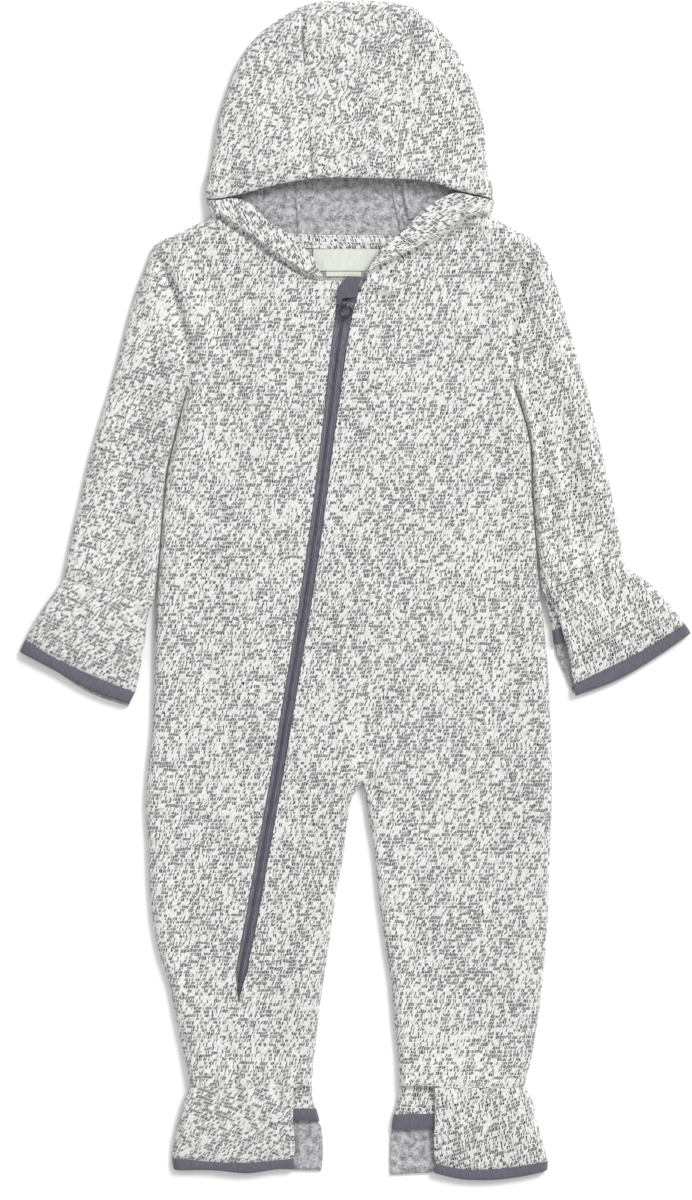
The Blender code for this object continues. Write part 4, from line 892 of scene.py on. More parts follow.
def torsoAndLegs(shell):
    for heights, inner in ((torso, [legCentre] * 2), (leg, legInseam.values())):
        for strip in frontStrips(heights, inner):
            addTop(shell, "front", strip)
    outer, inner, right = (strip[0] for strip in frontStrips([cloth["ankle"]], legInseam.values()))
    for limb, top in (("ankle_left", np.vstack([outer, inner[1:]])), ("ankle_right", right[::-1])):
        limbEnd(shell, limb, top, steps(top, top), "front", limb == "ankle_right", frontTop, 0.0)


def limbRows(limb, rows, span):
    return rungs(along(underCut[limb]["outer"], rows), along(underCut[limb]["inner"], rows), span)


def limbEnd(shell, limb, top, span, piece, flip, topOf, grain):
    # the sleeve or leg keeps its height up to the cover's seam, then steps down to the short layer
    start, end = underCut[limb]["short"]
    foot = limbRows(limb, [0], span)[0]
    shares = np.array([0, .2, .4, .6, .8])[:, None, None]
    high = top[None] * (1 - shares) + foot[None] * shares
    far = fromSide(high)
    rise = rolled(topOf(high, far), far)
    lowFar = fromSide(foot[None])
    low = rolled(cloth["shortTop"], lowFar, cloth["shortSide"], cloth["shortSide"])
    # beside the cover the cloth runs down to the short layer in one soft slope
    beside = alongGather(high, limb) - alongGather(np.array(coverCut[limb]["inner"][0]), limb)
    slope = eased((beside - cloth["slopeFrom"]) / cloth["slopeOver"])
    rise = rise + (low - rise) * eased(shares[..., 0]) * slope
    step = np.concatenate([np.dstack([high, rise]), np.dstack([foot[None], low])])
    lift = np.concatenate([topLift(high, far), topLift(foot[None], lowFar)])
    addGrid(shell, piece, step, lift, grain, flip)
    addTop(shell, piece, limbRows(limb, between(fine(shortRows), 0, start), span), grain, flip, topOf, True)
    if end > start:
        shares = np.linspace(0, 1, 9)
        crown = cloth["tapeCrown"] * rounded(1 - np.abs(2 * shares - 1))[:, None]
        tape = limbRows(limb, between(shares, start, end), span)
        addTop(shell, limb.replace("_", "_binding_"), tape, grain, flip, topOf, True, crown=crown)


def backEnd(shell, limb, top, span, piece, flip, grain):
    start, end = underCut[limb]["short"]
    foot = limbRows(limb, [0], span)[0]
    shares = np.array([0, .3, .6, .88])[:, None, None]
    high = top[None] * (1 - shares) + foot[None] * shares
    rows = list(between(fine(shortRows), 0, start))
    if end > start:
        rows += list(between(np.linspace(0, 1, 9)[1:], start, end))
    rows += list(between(fine(hemRows)[1:-1], end, 1))
    plan = np.concatenate([high, limbRows(limb, rows, span), along(underCut[limb]["hem"], span)[None]])
    addUnder(shell, piece, plan, grain, flip, np.arange(len(plan)) > 3)


def backNeckShares():
    first, second = backNeckSeams
    return np.concatenate([columns["hoodBack"] * first, between(columns["hoodCentre"], first, second)[1:],
                           1 - (columns["hoodBack"] * (1 - second))[::-1][1:]])


def backPanel(shell):
    neck = along(backNeck, backNeckShares())
    top = np.vstack([along(shoulderSeam["left"], columns["shoulder"])[::-1], neck[1:],
                     along(shoulderSeam["right"], columns["shoulder"])[1:]])
    crotch = level(legCentre, torso)
    left = rungs(level(bodySide["left"], torso), crotch, columns["back"])
    right = rungs(crotch, level(bodySide["right"], torso), 1 - columns["back"][::-1])
    whole = np.concatenate([left, right[:, 1:]], axis=1)
    chest = patch(top, whole[0], along(sleeveCut["left"]["armhole"], columns["armholeBack"]),
                  along(sleeveCut["right"]["armhole"], columns["armholeBack"]))
    addUnder(shell, "back", chest, flip=True)
    addUnder(shell, "back", whole, flip=True)
    for side in ("left", "right"):
        half = rungs(level(bodySide[side], leg), level(legInseam[side], leg), columns["back"])
        addUnder(shell, "back", half, flip=side == "left")
        backEnd(shell, "ankle_" + side, half[-1], columns["back"], "back", side == "left", 0.0)


def sleeves(shell):
    for side, grain in (("left", -12.0), ("right", 11.5)):
        cut, limb, name = sleeveCut[side], "wrist_" + side, "sleeve_" + side
        flip = side == "right"
        rows = fine(sleeveRows, 8)
        outer, inner = along(cut["outer"], rows), along(cut["inner"], rows)
        for layer, shares in (("front", columns["armholeFront"]), ("back", columns["armholeBack"])):
            wrist = rungs(outer[-1:], inner[-1:], shares)[0]
            plan = patch(along(cut["armhole"], shares), wrist, outer, inner)
            if layer == "front":
                addTop(shell, name, plan, grain, flip, sleeveTop(side))
                limbEnd(shell, limb, wrist, shares, name, flip, sleeveTop(side), grain)
            else:
                addUnder(shell, name, plan, grain, not flip)
                backEnd(shell, limb, wrist, shares, name, not flip, grain)


def hood(shell):
    first, second = backNeckSeams
    rows, bands = columns["hoodRows"], columns["bandRows"]
    crown = along(crownLine, columns["hoodCentre"])
    feet = dict(zip(("left", "right"), along(backNeck, [first, second])))
    backSeams = {}
    for side, grain in (("left", 42.0), ("right", -42.0)):
        name, flip = "hood_side_" + side, side == "right"
        silhouette = along(hoodSide[side], rows)
        corner = along(hoodCorner[side], bands)
        face = along(faceEdge[side], columns["hoodSide"])
        start = np.repeat(silhouette[:1], len(face), axis=0)
        addTop(shell, name, patch(start, face, silhouette, along(frontSeam[side], rows)), -grain / 5, flip, hoodTop,
               lift=hoodLift)
        band = patch(along(bandEdge[side], columns["neck"]), along(neckSeam[side], columns["neck"]), corner,
                     np.linspace(bandEdge[side][-1], neckSeam[side][-1], len(bands)))
        addTop(shell, name, band, grain, flip, bandTop(side))
        edge = np.vstack([silhouette, corner])
        line = backSeam[side] + [tuple(feet[side])]
        backSeams[side] = along(line, [*between(rows, 0, 0.84), *between(bands, 0.86, 1)])
        shares = columns["hoodBack"] * first if side == "left" else 1 - columns["hoodBack"] * (1 - second)
        neck = along(backNeck, shares)
        start = np.repeat(edge[:1], len(neck), axis=0)
        addUnder(shell, name, patch(start, neck, edge, backSeams[side]), 0.0, not flip)
    face = along(faceCentre, columns["hoodCentre"])
    seams = [along(frontSeam[side], rows) for side in ("left", "right")]
    addTop(shell, "hood_center", patch(crown, face, *seams), 0.0, False, hoodTop, lift=hoodLift)
    neck = along(backNeck, between(columns["hoodCentre"], first, second))
    addUnder(shell, "hood_center", patch(crown, neck, backSeams["left"], backSeams["right"]), 0.0, True)


# materials
def newMaterial(name, roughness, sheen=0.0, metallic=0.0):
    made = bpy.data.materials.new(name)
    made.use_nodes = True
    shader = made.node_tree.nodes["Principled BSDF"]
    shader.inputs["Roughness"].default_value = roughness
    shader.inputs["Metallic"].default_value = metallic
    shader.inputs["Sheen Weight"].default_value = sheen
    shader.inputs["Sheen Roughness"].default_value = 0.5
    return made, made.node_tree, shader


def addNode(tree, kind, inputs=None, **settings):
    made = tree.nodes.new(kind)
    for key, value in settings.items():
        setattr(made, key, value)
    for key, value in (inputs or {}).items():
        if isinstance(value, Signal):
            tree.links.new(value.socket, made.inputs[key])
        else:
            made.inputs[key].default_value = value
    return made


class Signal:
    # what a material works out at each point; arithmetic with signals adds its nodes
    def __init__(self, tree, socket):
        self.tree, self.socket = tree, socket

    def through(self, kind, inputs, output=0, **settings):
        return Signal(self.tree, addNode(self.tree, kind, inputs, **settings).outputs[output])

    def maths(self, operation, other=0.0):
        return self.through("ShaderNodeMath", {0: self, 1: other}, operation=operation)

    def vector(self, operation, other):
        return self.through("ShaderNodeVectorMath", {0: self, 1: other}, operation=operation)

    def __add__(self, other):
        return self.maths("ADD", other)

    def __sub__(self, other):
        return self.maths("SUBTRACT", other)

    def __mul__(self, other):
        return self.maths("MULTIPLY", other)

    def __truediv__(self, other):
        return self.maths("DIVIDE", other)

    def __abs__(self):
        return self.maths("ABSOLUTE")

    def split(self):
        made = addNode(self.tree, "ShaderNodeSeparateXYZ", {0: self})
        return [Signal(self.tree, socket) for socket in made.outputs]

    def beside(self, other):
        return self.through("ShaderNodeCombineXYZ", {0: self, 1: other, 2: 0.0})

    def ramp(self, low, high, start=0.0, end=1.0):
        return self.through("ShaderNodeMapRange", {"Value": self, "From Min": low, "From Max": high,
                                                   "To Min": start, "To Max": end},
                            interpolation_type="SMOOTHSTEP")

    def noise(self, scale, detail=2.0, roughness=0.5, output=0):
        return self.through("ShaderNodeTexNoise", {"Vector": self, "Scale": scale, "Detail": detail,
                                                   "Roughness": roughness}, output)

    def mix(self, first, second):
        return self.through("ShaderNodeMix", {0: self, 6: first, 7: second}, 2, data_type="RGBA")

    def bump(self, distance, strength):
        return self.through("ShaderNodeBump", {"Height": self, "Distance": distance, "Strength": strength})

    def into(self, shader, name):
        self.tree.links.new(self.socket, shader.inputs[name])


def grainPlace(tree):
    return Signal(tree, addNode(tree, "ShaderNodeUVMap", uv_map="grain").outputs[0])


def objectPlace(tree):
    return Signal(tree, addNode(tree, "ShaderNodeTexCoord").outputs["Object"])


knitLook = {
    "wale": 1.14, "course": 2.6, "slant": 1.05, "wander": 2.6,     # mm, and the slant in wales
    "from": 0.39, "full": 0.57,                                    # how rarely a stitch is dark
    "own": 0.55, "run": 0.27, "cluster": 0.17, "broad": 0.22,      # by its own chance, its row and its patch
    "width": (0.20, 0.40), "length": (0.30, 0.48),                 # half a dash: full, and faded out
    "fuzz": 0.24, "fibre": 0.22,                                   # soft grey over all of it
    "pale": (0.735, 0.731, 0.722, 1), "ink": (0.010, 0.010, 0.013, 1),
    "relief": 0.0004}


def knitMaterial():
    # flat faces of a jersey knit: dark yarn shows as short slanted dashes in broken runs along the courses
    look = knitLook
    made, tree, shader = newMaterial("heatherKnit", 0.96, 0.2)
    place = grainPlace(tree)
    shift = place.noise(0.16, output=1).vector("SUBTRACT", (0.5, 0.5, 0.5))
    moved = shift.vector("MULTIPLY", (look["wander"] * 1.6, look["wander"] * 1.5, 0)).vector("ADD", place)
    parts = moved.split()
    course = parts[1] / look["course"]
    row, up = course.maths("FLOOR"), course.maths("FRACT")
    odd = row.maths("FLOORED_MODULO", 2.0)
    lean = (up - 0.5) * (odd * (0.45 * look["slant"]) - look["slant"])
    wale = odd * 0.5 + lean + parts[0] / look["wale"]
    stitch, over = wale.maths("FLOOR"), wale.maths("FRACT")
    own = stitch.through("ShaderNodeTexWhiteNoise", {0: stitch.beside(row)}, "Color",
                         noise_dimensions="3D").split()
    run = (stitch * 0.27).beside(row * 5.37).noise(1.0, 1.0).ramp(0.28, 0.72)
    cluster = place.noise(0.085, 3.0, 0.62).ramp(0.3, 0.7)
    broad = place.noise(0.017, 1.0) - 0.5
    score = run * look["run"] + own[0] * look["own"] + cluster * look["cluster"] + broad * look["broad"]
    dark = score.ramp(look["from"], look["full"])
    # each dash has its own place, width and length in its stitch
    width = abs(over + own[1] * 0.26 - 0.63).ramp(*look["width"], 1.0, 0.0)
    length = abs(up + own[2] * 0.2 - 0.6).ramp(*look["length"], 1.0, 0.0)
    dash = width * length
    fuzz = place.noise(0.62, 3.0, 0.7).ramp(0.32, 0.74, 0.0, look["fuzz"])
    fibre = moved.vector("MULTIPLY", (1.0, 0.4, 1.0)).noise(1.5, 2.0, 0.6)
    soft = fuzz + fibre.ramp(0.36, 0.7, 0.0, look["fibre"])
    share = (dark * (dash * 0.9 + 0.1) * 0.98 + soft).maths("MINIMUM", 1.0)
    share.mix(look["pale"], look["ink"]).into(shader, "Base Color")
    (dash * 0.6 + fibre * 0.9).bump(look["relief"], 0.6).into(shader, "Normal")
    return made


fleeceLook = {"pale": (0.56, 0.56, 0.565, 1), "dark": (0.115, 0.115, 0.125, 1), "blobs": 0.62, "curls": 0.48,
              "relief": 0.0011}


def fleeceMaterial():
    look = fleeceLook
    made, tree, shader = newMaterial("brushedFleece", 0.98, 0.35)
    place = grainPlace(tree)
    blobs, curls = place.noise(0.22, 3.0, 0.62), place.noise(0.75, 3.0, 0.7)
    mottle = blobs.ramp(0.3, 0.7, 0.0, look["blobs"]) + curls.ramp(0.3, 0.7, 0.0, look["curls"])
    mottle.mix(look["pale"], look["dark"]).into(shader, "Base Color")
    (blobs + curls * 0.7).bump(look["relief"], 0.8).into(shader, "Normal")
    return made


def wovenMaterial(name, pale, dark, rib, across, roughness, streak=0.5, sheen=0.15):
    # woven tape: fine ribs along it, crossed by weft, with the uneven tone of dyed yarn; the colour is also darker
    # between the ribs, painted shade of their relief
    made, tree, shader = newMaterial(name, roughness, sheen)
    place = grainPlace(tree)
    ribReliefAndShade, weft = (abs((part * (pi / pitch)).maths("SINE")) for part, pitch in zip(place.split(), (rib, across)))
    tone = place.vector("MULTIPLY", (1.0, 0.12, 1.0)).noise(1.1, 3.0, 0.6).ramp(0.3, 0.7, 0.0, streak)
    speck = place.noise(1.7, 2.0, 0.6).ramp(0.35, 0.7, -0.12, 0.22)
    # paler on the rib crests and darker in the valleys between them (painted shade), plus the yarn's own tone and
    # specks
    (ribReliefAndShade * 0.3 + (tone + speck)).mix(dark, pale).into(shader, "Base Color")
    (ribReliefAndShade + weft * 0.5).bump(0.00022, 0.7).into(shader, "Normal")
    return made


def enamelMaterial(name, dark, pale):
    made, tree, shader = newMaterial(name, 0.3, metallic=0.35)
    shader.inputs["Coat Weight"].default_value = 0.35
    shader.inputs["Coat Roughness"].default_value = 0.2
    worn = objectPlace(tree).noise(900.0, 3.0, 0.6)
    worn.ramp(0.45, 0.75).mix(dark, pale).into(shader, "Base Color")
    worn.ramp(0.3, 0.8, 0.24, 0.42).into(shader, "Roughness")
    worn.bump(0.00004, 0.4).into(shader, "Normal")
    return made


def threadMaterial(name, pale, dark):
    made, tree, shader = newMaterial(name, 0.7, 0.2)
    ply = objectPlace(tree).noise(2600.0, 2.0)
    ply.mix(dark, pale).into(shader, "Base Color")
    ply.bump(0.0001, 0.5).into(shader, "Normal")
    return made


knit = knitMaterial()
fleece = fleeceMaterial()
binding = wovenMaterial("slateBinding", (0.132, 0.127, 0.160, 1), (0.060, 0.057, 0.078, 1), 1.1, 0.8, 0.85)
zipTape = wovenMaterial("zipTapeWeave", (0.158, 0.15, 0.188, 1), (0.042, 0.039, 0.052, 1), 1.3, 0.9, 0.8, 0.7)
garageTape = wovenMaterial("garageWeave", (0.115, 0.112, 0.142, 1), (0.047, 0.045, 0.06, 1), 1.0, 0.8, 0.8)
coilPlastic = wovenMaterial("coilMonofilament", (0.15, 0.143, 0.178, 1), (0.06, 0.056, 0.072, 1), 0.7, 0.7, 0.5,
                            sheen=0.0)
labelWeave = wovenMaterial("bareLabel", (0.70, 0.72, 0.65, 1), (0.56, 0.575, 0.51, 1), 0.5, 0.4, 0.7, 0.5)
enamel = enamelMaterial("darkEnamel", (0.024, 0.026, 0.038, 1), (0.06, 0.063, 0.085, 1))
sliderEnamel = enamelMaterial("slateEnamel", (0.085, 0.085, 0.11, 1), (0.13, 0.13, 0.165, 1))
seamThread = threadMaterial("palePinkThread", (0.60, 0.53, 0.52, 1), (0.40, 0.34, 0.34, 1))
slateThread = threadMaterial("slateThread", (0.05, 0.048, 0.066, 1), (0.022, 0.021, 0.03, 1))
print("materials made")


# the garment
def garment():
    shell = []
    chestFront(shell)
    torsoAndLegs(shell)
    backPanel(shell)
    sleeves(shell)
    hood(shell)
    clothFinish = {name: (knit, fleece) for name in ("front", "back", "sleeve_left", "sleeve_right",
                                                     "hood_center", "hood_side_left", "hood_side_right")}
    tapes = {name: (binding, binding) for name in ("wrist_binding_right", "ankle_binding_left",
                                                   "ankle_binding_right")}
    return buildShell(shell, {**clothFinish, **tapes}, {name: cloth["tapeSwell"] for name in tapes})


coverLook = {"grain": {"wrist_left": -25.7, "wrist_right": 28.0, "ankle_left": -20.0, "ankle_right": 20.0},
             "tapeRound": 1.0, "tapeSwell": 0.2, "dent": 0.9}      # mm; the dent is where the tape is sewn on


def coverLayer(plan, limb):
    cut = coverCut[limb]
    away = pastGather(plan, limb)
    depth = ((np.array(cut["hem"][1]) - gather[limb]["outer"]) * gather[limb]["into"]).sum()
    top = cloth["gatherTop"] + (cloth["coverHem"] - cloth["gatherTop"]) * eased((away / depth - 0.5) / 0.5)
    sewn = distance(plan, along(cut["outer"] + cut["hem"][:1], dense))
    folded = distance(plan, along(cut["inner"] + cut["hem"][-1:], dense))
    drop = cloth["coverDrop"] * (1 - rounded(sewn / cloth["sideRoll"]))
    drop += cut["foldedDrop"] * (1 - rounded(folded / 3))
    lift = creased(plan, gatherCreases(limb) + coverCreases[limb]) + elasticDip(plan) + rippled(plan + 90, 0.8)
    return (np.dstack([plan, top + waves(plan, limb) - drop]),
            lift * eased((np.minimum(sewn, folded) + 1.5) / 5))


def covers():
    made = {}
    for limb, cut in coverCut.items():
        shell = []
        joint, side = limb.split("_")
        flap, tape = f"{joint}_flap_{side}", f"{joint}_cover_binding_{side}"
        flip, grain, dent = side == "right", coverLook["grain"][limb], coverLook["dent"]
        rows = fine(coverRows, 6)
        outer, inner = along(cut["outer"], rows), along(cut["inner"], rows)
        top = rungs(outer[:1], inner[:1], columns["cover"])[0]
        edge, hem = along(cut["binding"], columns["cover"]), along(cut["hem"], columns["cover"])
        grid, lift = coverLayer(patch(top, edge, outer, inner), limb)
        share = np.linspace(1, 0, len(rows))[:, None]
        addGrid(shell, flap, grid, lift - dent * np.exp(-(share / 0.03) ** 2), grain, flip)
        share = np.linspace(0, 1, 11)[:, None, None]
        grid, lift = coverLayer(edge[None] * (1 - share) + hem[None] * share, limb)
        swell = coverLook["tapeRound"] * rounded(1 - np.abs(2 * share[..., 0] - 1)) ** 0.8
        addGrid(shell, tape, grid, lift + swell - dent * np.exp(-(share[..., 0] / 0.1) ** 2), grain, flip)
        made.update(buildShell(shell, {flap: (knit, fleece), tape: (binding, binding)},
                               {tape: coverLook["tapeSwell"]}))
    return made


pieces = {**garment(), **covers()}
print("cloth cut and sewn:", len(pieces))

# zip, in mm. The tape rises over its hidden coil, dips beside it and rolls up under the cloth's edge, each
# with its height, the share of the width where it is and how far it reaches. A coil loop's rings have a height
# and a size.
zipLook = {"clear": 0.4, "coilHalf": 0.9, "floor": 2.75, "tapeTop": 4.7, "coilTop": 5.15, "pitch": 1.45,
           "bottom": 142.0, "coilEnd": 132.5, "top": 643.5, "step": 1.5,
           "rise": (0.35, 0.14), "dip": (0.5, 0.4, 0.2), "roll": (0.25, 0.6, 0.3),
           "loopRings": ((-0.9, 0.8), (-0.35, 1.0), (0.2, 0.86), (0.5, 0.4)), "loopSides": 8,
           "loopHalf": (0.82, 0.62), "lean": 0.21, "stagger": 0.16}
zipLook["cord"] = ((-0.9, zipLook["floor"]), (-0.9, 4.1), (0, 4.5), (0.9, 4.1), (0.9, zipLook["floor"]))


def loft(points, faces, rings):
    # one closed body through rings of equally many points
    at, sides = len(points), len(rings[0])
    last = at + (len(rings) - 1) * sides
    for ring in rings:
        points += ring
    for low in range(at, last, sides):
        faces += [[low + j, low + (j + 1) % sides, low + sides + (j + 1) % sides, low + sides + j]
                  for j in range(sides)]
    faces += [[last + j for j in range(sides)], [at + j for j in reversed(range(sides))]]


def wavering(rows, height, width, length, seed):
    return np.array([[height * noise.noise((x / width, y / length, seed)) for x, y in row] for row in rows])


def ribbon(name, rows, height, floor, finish):
    # a closed strip over a plan grid, with its top at the given height for each point
    count = rows.shape[0] * rows.shape[1]
    top = np.dstack([rows, height]).reshape(-1, 3)
    base = top.copy()
    base[:, 2] = floor
    index = np.arange(count).reshape(rows.shape[:2])
    faces = cells(index).tolist()
    loop = [*index[:, 0], *index[-1, 1:], *index[-2::-1, -1], *index[0, -2:0:-1]]
    under = [[count + c for c in reversed(face)] for face in faces]
    wall = [[int(b), int(a), int(count + a), int(count + b)] for a, b in zip(loop, loop[1:] + loop[:1])]
    width = np.linalg.norm(rows - rows[:, :1], axis=-1)
    flat = np.stack([width, lengths(rows[:, 0])[:, None] + 0 * width], -1).reshape(-1, 2)
    built = faces + under + wall
    uv = np.array([flat[c % count] for face in built for c in face])
    points = np.vstack([top, base])
    if np.cross(points[faces[0][1]] - points[faces[0][0]], points[faces[0][2]] - points[faces[0][0]])[2] < 0:
        built = [face[::-1] for face in built]
        uv = np.array([flat[c % count] for face in built for c in face])
    return meshPiece(name, points, built, uv, None, (finish,), 0.9)


def zipStrips():
    heights = np.arange(zipLook["top"], zipLook["bottom"] - 0.1, -zipLook["step"])
    middle = level(zipLine, heights)[:, :2]
    reach = np.array((zipLook["coilHalf"] + 0.1, 0))
    shares = np.linspace(0, 1, 13)
    made = {}
    for side, sign in (("left", -1), ("right", 1)):
        edge = zipEdge(heights, sign) - np.array((sign * zipLook["clear"], 0))
        pair = (edge, middle - reach) if sign < 0 else (middle + reach, edge)
        rows = rungs(*pair, shares)
        fromCoil = 1 - shares if sign < 0 else shares
        (rise, near), (dip, at, reached), (roll, start, over) = (zipLook[key] for key in ("rise", "dip", "roll"))
        form = (rise * np.exp(-(fromCoil / near) ** 2) - dip * np.exp(-((fromCoil - at) / reached) ** 2)
                + roll * eased((fromCoil - start) / over))
        height = zipLook["tapeTop"] - 0.3 + form[None] + wavering(rows, 0.22, 9, 13, 4.4)
        made["zip_tape_" + side] = ribbon("zip_tape_" + side, rows, height, zipLook["floor"], zipTape)
    return made


def zipCoil():
    # two staggered rows of small loops where the tapes meet
    points, faces, look = [], [], zipLook
    (broad, high), lean, sides = look["loopHalf"], look["lean"], look["loopSides"]
    for k in range(int((look["top"] - look["coilEnd"]) / look["pitch"])):
        y = look["top"] - (k + 0.5) * look["pitch"]
        x = level(zipLine, [y])[0, 0] + (look["stagger"] if k % 2 else -look["stagger"])
        rings = []
        for up, size in look["loopRings"]:
            flat = [(size * broad * cos(2 * pi * j / sides), size * high * sin(2 * pi * j / sides))
                    for j in range(sides)]
            rings.append([(x + px + lean * py, y - lean * px + py, look["coilTop"] - 0.5 + up) for px, py in flat])
        loft(points, faces, rings)
    # the woven cord that the loops are sewn to, so that no gap shows between them
    heights = np.arange(look["top"], look["coilEnd"] - 0.1, -look["step"])
    loft(points, faces, [[(x + off, y, z) for off, z in look["cord"]] for x, y in level(zipLine, heights)[:, :2]])
    made = meshPiece("zip_coil", np.array(points), faces, None, None, (coilPlastic,), 0.8)
    grainFromPlace(made, 0)
    facesOut(made)
    return made


def grainFromPlace(made, fall):
    layer = made.data.uv_layers.new(name="grain")
    for loop in made.data.loops:
        spot = made.data.vertices[loop.vertex_index].co
        layer.data[loop.index].uv = (spot.x * 1000, spot.y * 1000 + spot.z * fall)


def facesOut(made):
    mesh = bmesh.new()
    mesh.from_mesh(made.data)
    bmesh.ops.recalc_face_normals(mesh, faces=mesh.faces)
    mesh.to_mesh(made.data)
    mesh.free()


def copied(node, name, finish, bevel):
    # a merged copy of a CAD piece with its edges eased
    made = bpy.data.objects.new(name, frame["nodes"][node].data.copy())
    bpy.context.scene.collection.objects.link(made)
    mesh = bmesh.new()
    mesh.from_mesh(made.data)
    bmesh.ops.remove_doubles(mesh, verts=mesh.verts, dist=1e-5)
    bmesh.ops.dissolve_limit(mesh, angle_limit=radians(4), verts=mesh.verts, edges=mesh.edges)
    mesh.to_mesh(made.data)
    mesh.free()
    made.data.materials.clear()
    made.data.materials.append(finish)
    bpy.ops.object.select_all(action="DESELECT")
    bpy.context.view_layer.objects.active = made
    made.select_set(True)
    easing = made.modifiers.new("easedEdges", "BEVEL")
    easing.width, easing.segments, easing.limit_method, easing.angle_limit = bevel, 3, "ANGLE", radians(28)
    bpy.ops.object.modifier_apply(modifier=easing.name)
    bpy.ops.object.shade_smooth_by_angle(angle=radians(40))
    made.select_set(False)
    grainFromPlace(made, 700)
    return made


pieces.update(zipStrips())
pieces["zip_coil"] = zipCoil()
pieces["zip_slider"] = copied("zip_slider", "slider_casting", sliderEnamel, 0.00022)
pieces["zip_garage"] = copied("zip_garage", "garage_fold", garageTape, 0.0004)

ringLook = {"radius": 4.25, "tube": 0.85}      # mm


def pullRing():
    bpy.ops.object.select_all(action="DESELECT")
    look = ringLook
    low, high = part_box("zip_pull")
    middle = [(a + b) / 2 for a, b in zip(low, high)]
    bpy.ops.mesh.primitive_torus_add(major_segments=56, minor_segments=18, major_radius=look["radius"] / 1000,
                                     minor_radius=look["tube"] / 1000, location=middle)
    made = bpy.context.active_object
    made.name = "pull_ring"
    bpy.ops.object.transform_apply(location=True, rotation=True, scale=True)
    bpy.ops.object.shade_smooth()
    made.data.materials.append(enamel)
    made.select_set(False)
    return made


pieces["zip_pull"] = pullRing()
print("zip made")

# neck tape, label and its tab, on the inside of the back
neckLook = {"tape": [(-46, 10.0), (-23, 10.0), (0, 10.0), (21, 10.0), (42, 9.5)], "gap": 0.3,
            "label": ((-26.5, 655), (21, 670.6)), "tab": ((-17.5, 651), (8, 654.4)), "floor": 2.75,
            "tapeThick": 1.2, "labelThick": 0.55}


def neckPieces():
    look, made = neckLook, {}
    neck = along(backNeck, dense)
    x = np.linspace(look["tape"][0][0], look["tape"][-1][0], 60)
    upper = np.interp(x, neck[:, 0], neck[:, 1]) - look["gap"]
    depth = np.interp(x, [row[0] for row in look["tape"]], [row[1] for row in look["tape"]])
    share = np.linspace(0, 1, 10)[:, None]
    rows = np.stack([x + 0 * share, upper - share * depth], -1)
    form = look["floor"] + look["tapeThick"] - 0.5 + 0.5 * rounded(1 - np.abs(2 * share - 1)) + 0 * x
    made["neck_tape"] = ribbon("neck_tape", rows, form, look["floor"], knit)
    for node, key in (("neck_label", "label"), ("label_tab", "tab")):
        (x0, y0), (x1, y1) = look[key]
        xs, ys = np.linspace(x0, x1, 40), np.linspace(y1, y0, 16)
        rows = np.stack(np.meshgrid(xs, ys), -1)
        height = look["floor"] + look["labelThick"] + wavering(rows, 0.16, 11, 9, 2.2)
        made[node] = ribbon(node, rows, height, look["floor"] - 0.2, labelWeave)
    return made


pieces.update(neckPieces())
print("neck made")


# sewing that shows; a stitch's rings have a place along it, a share of its width and a drop
stitchRings = ((-0.5, 0.25, 0.22), (-0.3, 1.0, 0.0), (0.3, 1.0, 0.0), (0.5, 0.25, 0.22))
stitchTurns = [2 * pi * j / 6 for j in range(6)]


def stitchRow(name, line, pitch, size, height, finish, raised):
    # one small lozenge of thread for each stitch, laid along a line on the cloth
    line = along(onPaper(line), np.linspace(0, 1, 200))
    run = lengths(line)
    points, faces, (long, wide) = [], [], size
    for k in range(int(run[-1] / pitch)):
        spot = np.array([np.interp((k + 0.5) * pitch, run, line[:, axis]) for axis in (0, 1)])
        ahead = np.array([np.interp((k + 0.6) * pitch, run, line[:, axis]) for axis in (0, 1)]) - spot
        ahead /= np.linalg.norm(ahead)
        side = np.array((-ahead[1], ahead[0]))
        z = float(height(spot[None, None])[0, 0]) + raised
        loft(points, faces, [[(*(spot + ahead * long * end + side * wide / 2 * girth * cos(turn)),
                               z - drop + wide / 2 * girth * sin(turn)) for turn in stitchTurns]
                             for end, girth, drop in stitchRings])
    made = meshPiece(name, np.array(points), faces, None, None, (finish,), 1.4)
    facesOut(made)
    return made


def onHood(plan):
    far = fromSide(plan)
    return rolled(hoodTop(plan, far), far) + hoodLift(plan, far)


def onCover(limb):
    def height(plan):
        grid, lift = coverLayer(plan, limb)
        return grid[..., 2] + lift
    return height


def sewing():
    made = {}
    for limb, cut in coverCut.items():
        edge, hem = (along(cut[key], np.linspace(0.02, 0.98, 9)) for key in ("binding", "hem"))
        made[limb + "_stitches"] = stitchRow(limb + "_stitches", edge * 0.86 + hem * 0.14, 2.3, (1.6, 0.5),
                                             onCover(limb), slateThread, 0.66)
    made["hood_hem_stitches"] = stitchRow(
        "hood_hem_stitches", [(222, 181), (236, 178.5), (268, 169), (312, 156), (350, 152), (388, 156), (432, 167),
                              (466, 177), (482, 181)], 2.7, (1.9, 0.62), onHood, seamThread, -0.05)
    flatTape = neckLook["floor"] + neckLook["tapeThick"]
    for row, y in (("upper", 236), ("lower", 244)):
        made["neck_stitches_" + row] = stitchRow(
            "neck_stitches_" + row, [(290, y - 1.6), (326, y), (360, y), (406, y - 1.4)], 2.5, (1.8, 0.6),
            lambda plan: np.full(plan.shape[:-1], flatTape), seamThread, -0.12)
    return made


def welt(name, line, width, rise, floor, finish):
    # a narrow raised strip, such as a seam's turned edges inside the hood
    line = along(onPaper(line), np.linspace(0, 1, 60))
    ahead = np.gradient(line, axis=0)
    ahead /= np.linalg.norm(ahead, axis=1)[:, None]
    side = np.stack([ahead[:, 1], -ahead[:, 0]], -1)
    across = np.linspace(-0.5, 0.5, 9)
    rows = line[:, None] + side[:, None] * (across * width)[None, :, None]
    form = floor + 0.1 + rise * rounded(1 - np.abs(2 * across))[None] + wavering(rows, 0.18, 5, 7, 6.1)
    return ribbon(name, rows, form, floor - 0.3, finish)


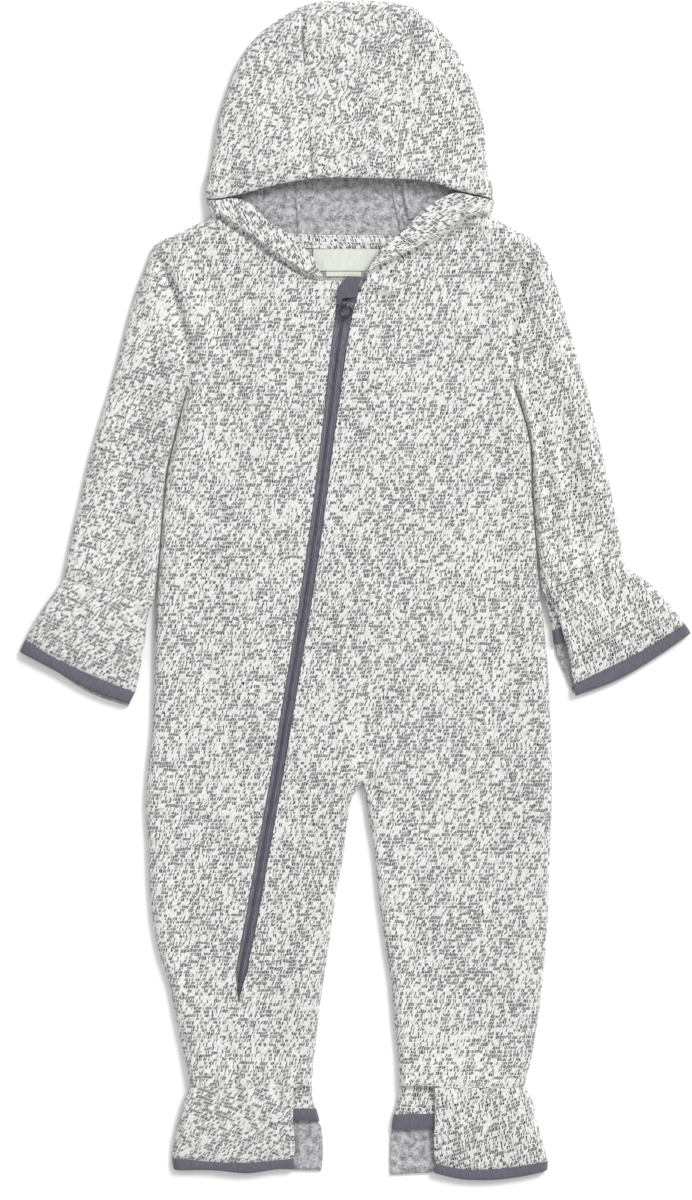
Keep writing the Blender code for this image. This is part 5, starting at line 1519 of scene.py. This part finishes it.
insideSeams = {
    "inside_seam_left": ([(299, 172), (298, 190), (298, 212), (300, 236)], 3.0, 1.0),
    "inside_seam_right": ([(391, 172), (394, 190), (397, 208), (402, 230)], 3.0, 1.0),
    "inside_fold_right": ([(404, 172), (405.5, 186), (407, 202), (411, 218)], 4.2, 2.2)}

stitches = sewing()
welts = {name: welt(name, *cut, 2.4, fleece) for name, cut in insideSeams.items()}
print("stitches laid")

# what each piece is, and what it moves with
sheets = {
    "front": ((0.30, 0.66), 0.152, ["back"]), "back": ((0.30, 0.70), 0.1722, []),
    "sleeve_left": ((0.235, 0.335), 0.0318, []), "sleeve_right": ((0.235, 0.325), 0.0300, []),
    "hood_center": ((0.085, 0.300), 0.0218, []), "hood_side_left": ((0.150, 0.175), 0.0176, []),
    "hood_side_right": ((0.150, 0.175), 0.0174, []),
    "wrist_flap_left": ((0.100, 0.070), 0.0047, ["sleeve_left"]),
    "wrist_flap_right": ((0.100, 0.070), 0.0045, ["sleeve_right"]),
    "ankle_flap_left": ((0.095, 0.065), 0.0045, ["front"]),
    "ankle_flap_right": ((0.090, 0.065), 0.0045, ["front"])}
sewnOn = {
    "front": ["ankle_binding_left", "ankle_binding_right", "zip_tape_left", "zip_tape_right", "zip_coil",
              "zip_garage"],
    "back": ["neck_tape", "neck_label", "label_tab"], "sleeve_right": ["wrist_binding_right"],
    **{f"{joint}_flap_{side}": [f"{joint}_cover_binding_{side}"] for joint in ("wrist", "ankle")
       for side in ("left", "right")}}

for node, piece in pieces.items():
    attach(piece, "pull" if node == "zip_pull" else "garment")
    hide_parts(node)
    taped = "binding" in node or node.startswith("zip_tape") or node == "zip_garage"
for name, piece in {**stitches, **welts}.items():
    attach(piece, "garment")
for node, (flat, area, under) in sheets.items():
    ([pieces[other] for other in sewnOn.get(node, [])]
             + (list(welts.values()) if node == "hood_center" else []))

# floor, light and camera
studio = {"floor": (0.83, 0.83, 0.83, 1), "floorAt": -0.0003, "world": 0.84,
          "key": 400.0, "keyAt": (3.1, 3.6, 4.4), "keySize": 2.4,
          "lens": 135, "cameraAt": (-0.00662, -0.00743, 0.008 + 0.864 * 135 / 36)}


def stageSet():
    bpy.ops.object.select_all(action="DESELECT")
    bpy.ops.mesh.primitive_plane_add(size=60, location=(0, 0, studio["floorAt"]))
    floor = bpy.context.active_object
    floor.name = "studio_floor"
    made, tree, shader = newMaterial("paleFloor", 0.9)
    shader.inputs["Base Color"].default_value = studio["floor"]
    floor.data.materials.append(made)
    floor.select_set(False)
    world = bpy.data.worlds.new("softSky")
    world.use_nodes = True
    world.node_tree.nodes["Background"].inputs["Color"].default_value = (1, 1, 1, 1)
    world.node_tree.nodes["Background"].inputs["Strength"].default_value = studio["world"]
    bpy.context.scene.world = world
    lamp = bpy.data.lights.new("softKey", "AREA")
    lamp.energy, lamp.size = studio["key"], studio["keySize"]
    key = bpy.data.objects.new("softKey", lamp)
    key.location = studio["keyAt"]
    key.rotation_mode = "QUATERNION"
    key.rotation_quaternion = (-key.location).to_track_quat("-Z", "Y")
    bpy.context.scene.collection.objects.link(key)
    bpy.context.scene.view_settings.view_transform = "Standard"


def cameraSet():
    lens = bpy.data.cameras.new("overhead")
    lens.lens, lens.sensor_width, lens.sensor_fit, lens.clip_end = studio["lens"], 36, "AUTO", 20
    camera = bpy.data.objects.new("overhead", lens)
    camera.location = studio["cameraAt"]
    bpy.context.scene.collection.objects.link(camera)
    bpy.context.scene.camera = camera


stageSet()
cameraSet()
bpy.context.view_layer.update()
print("scene ready")
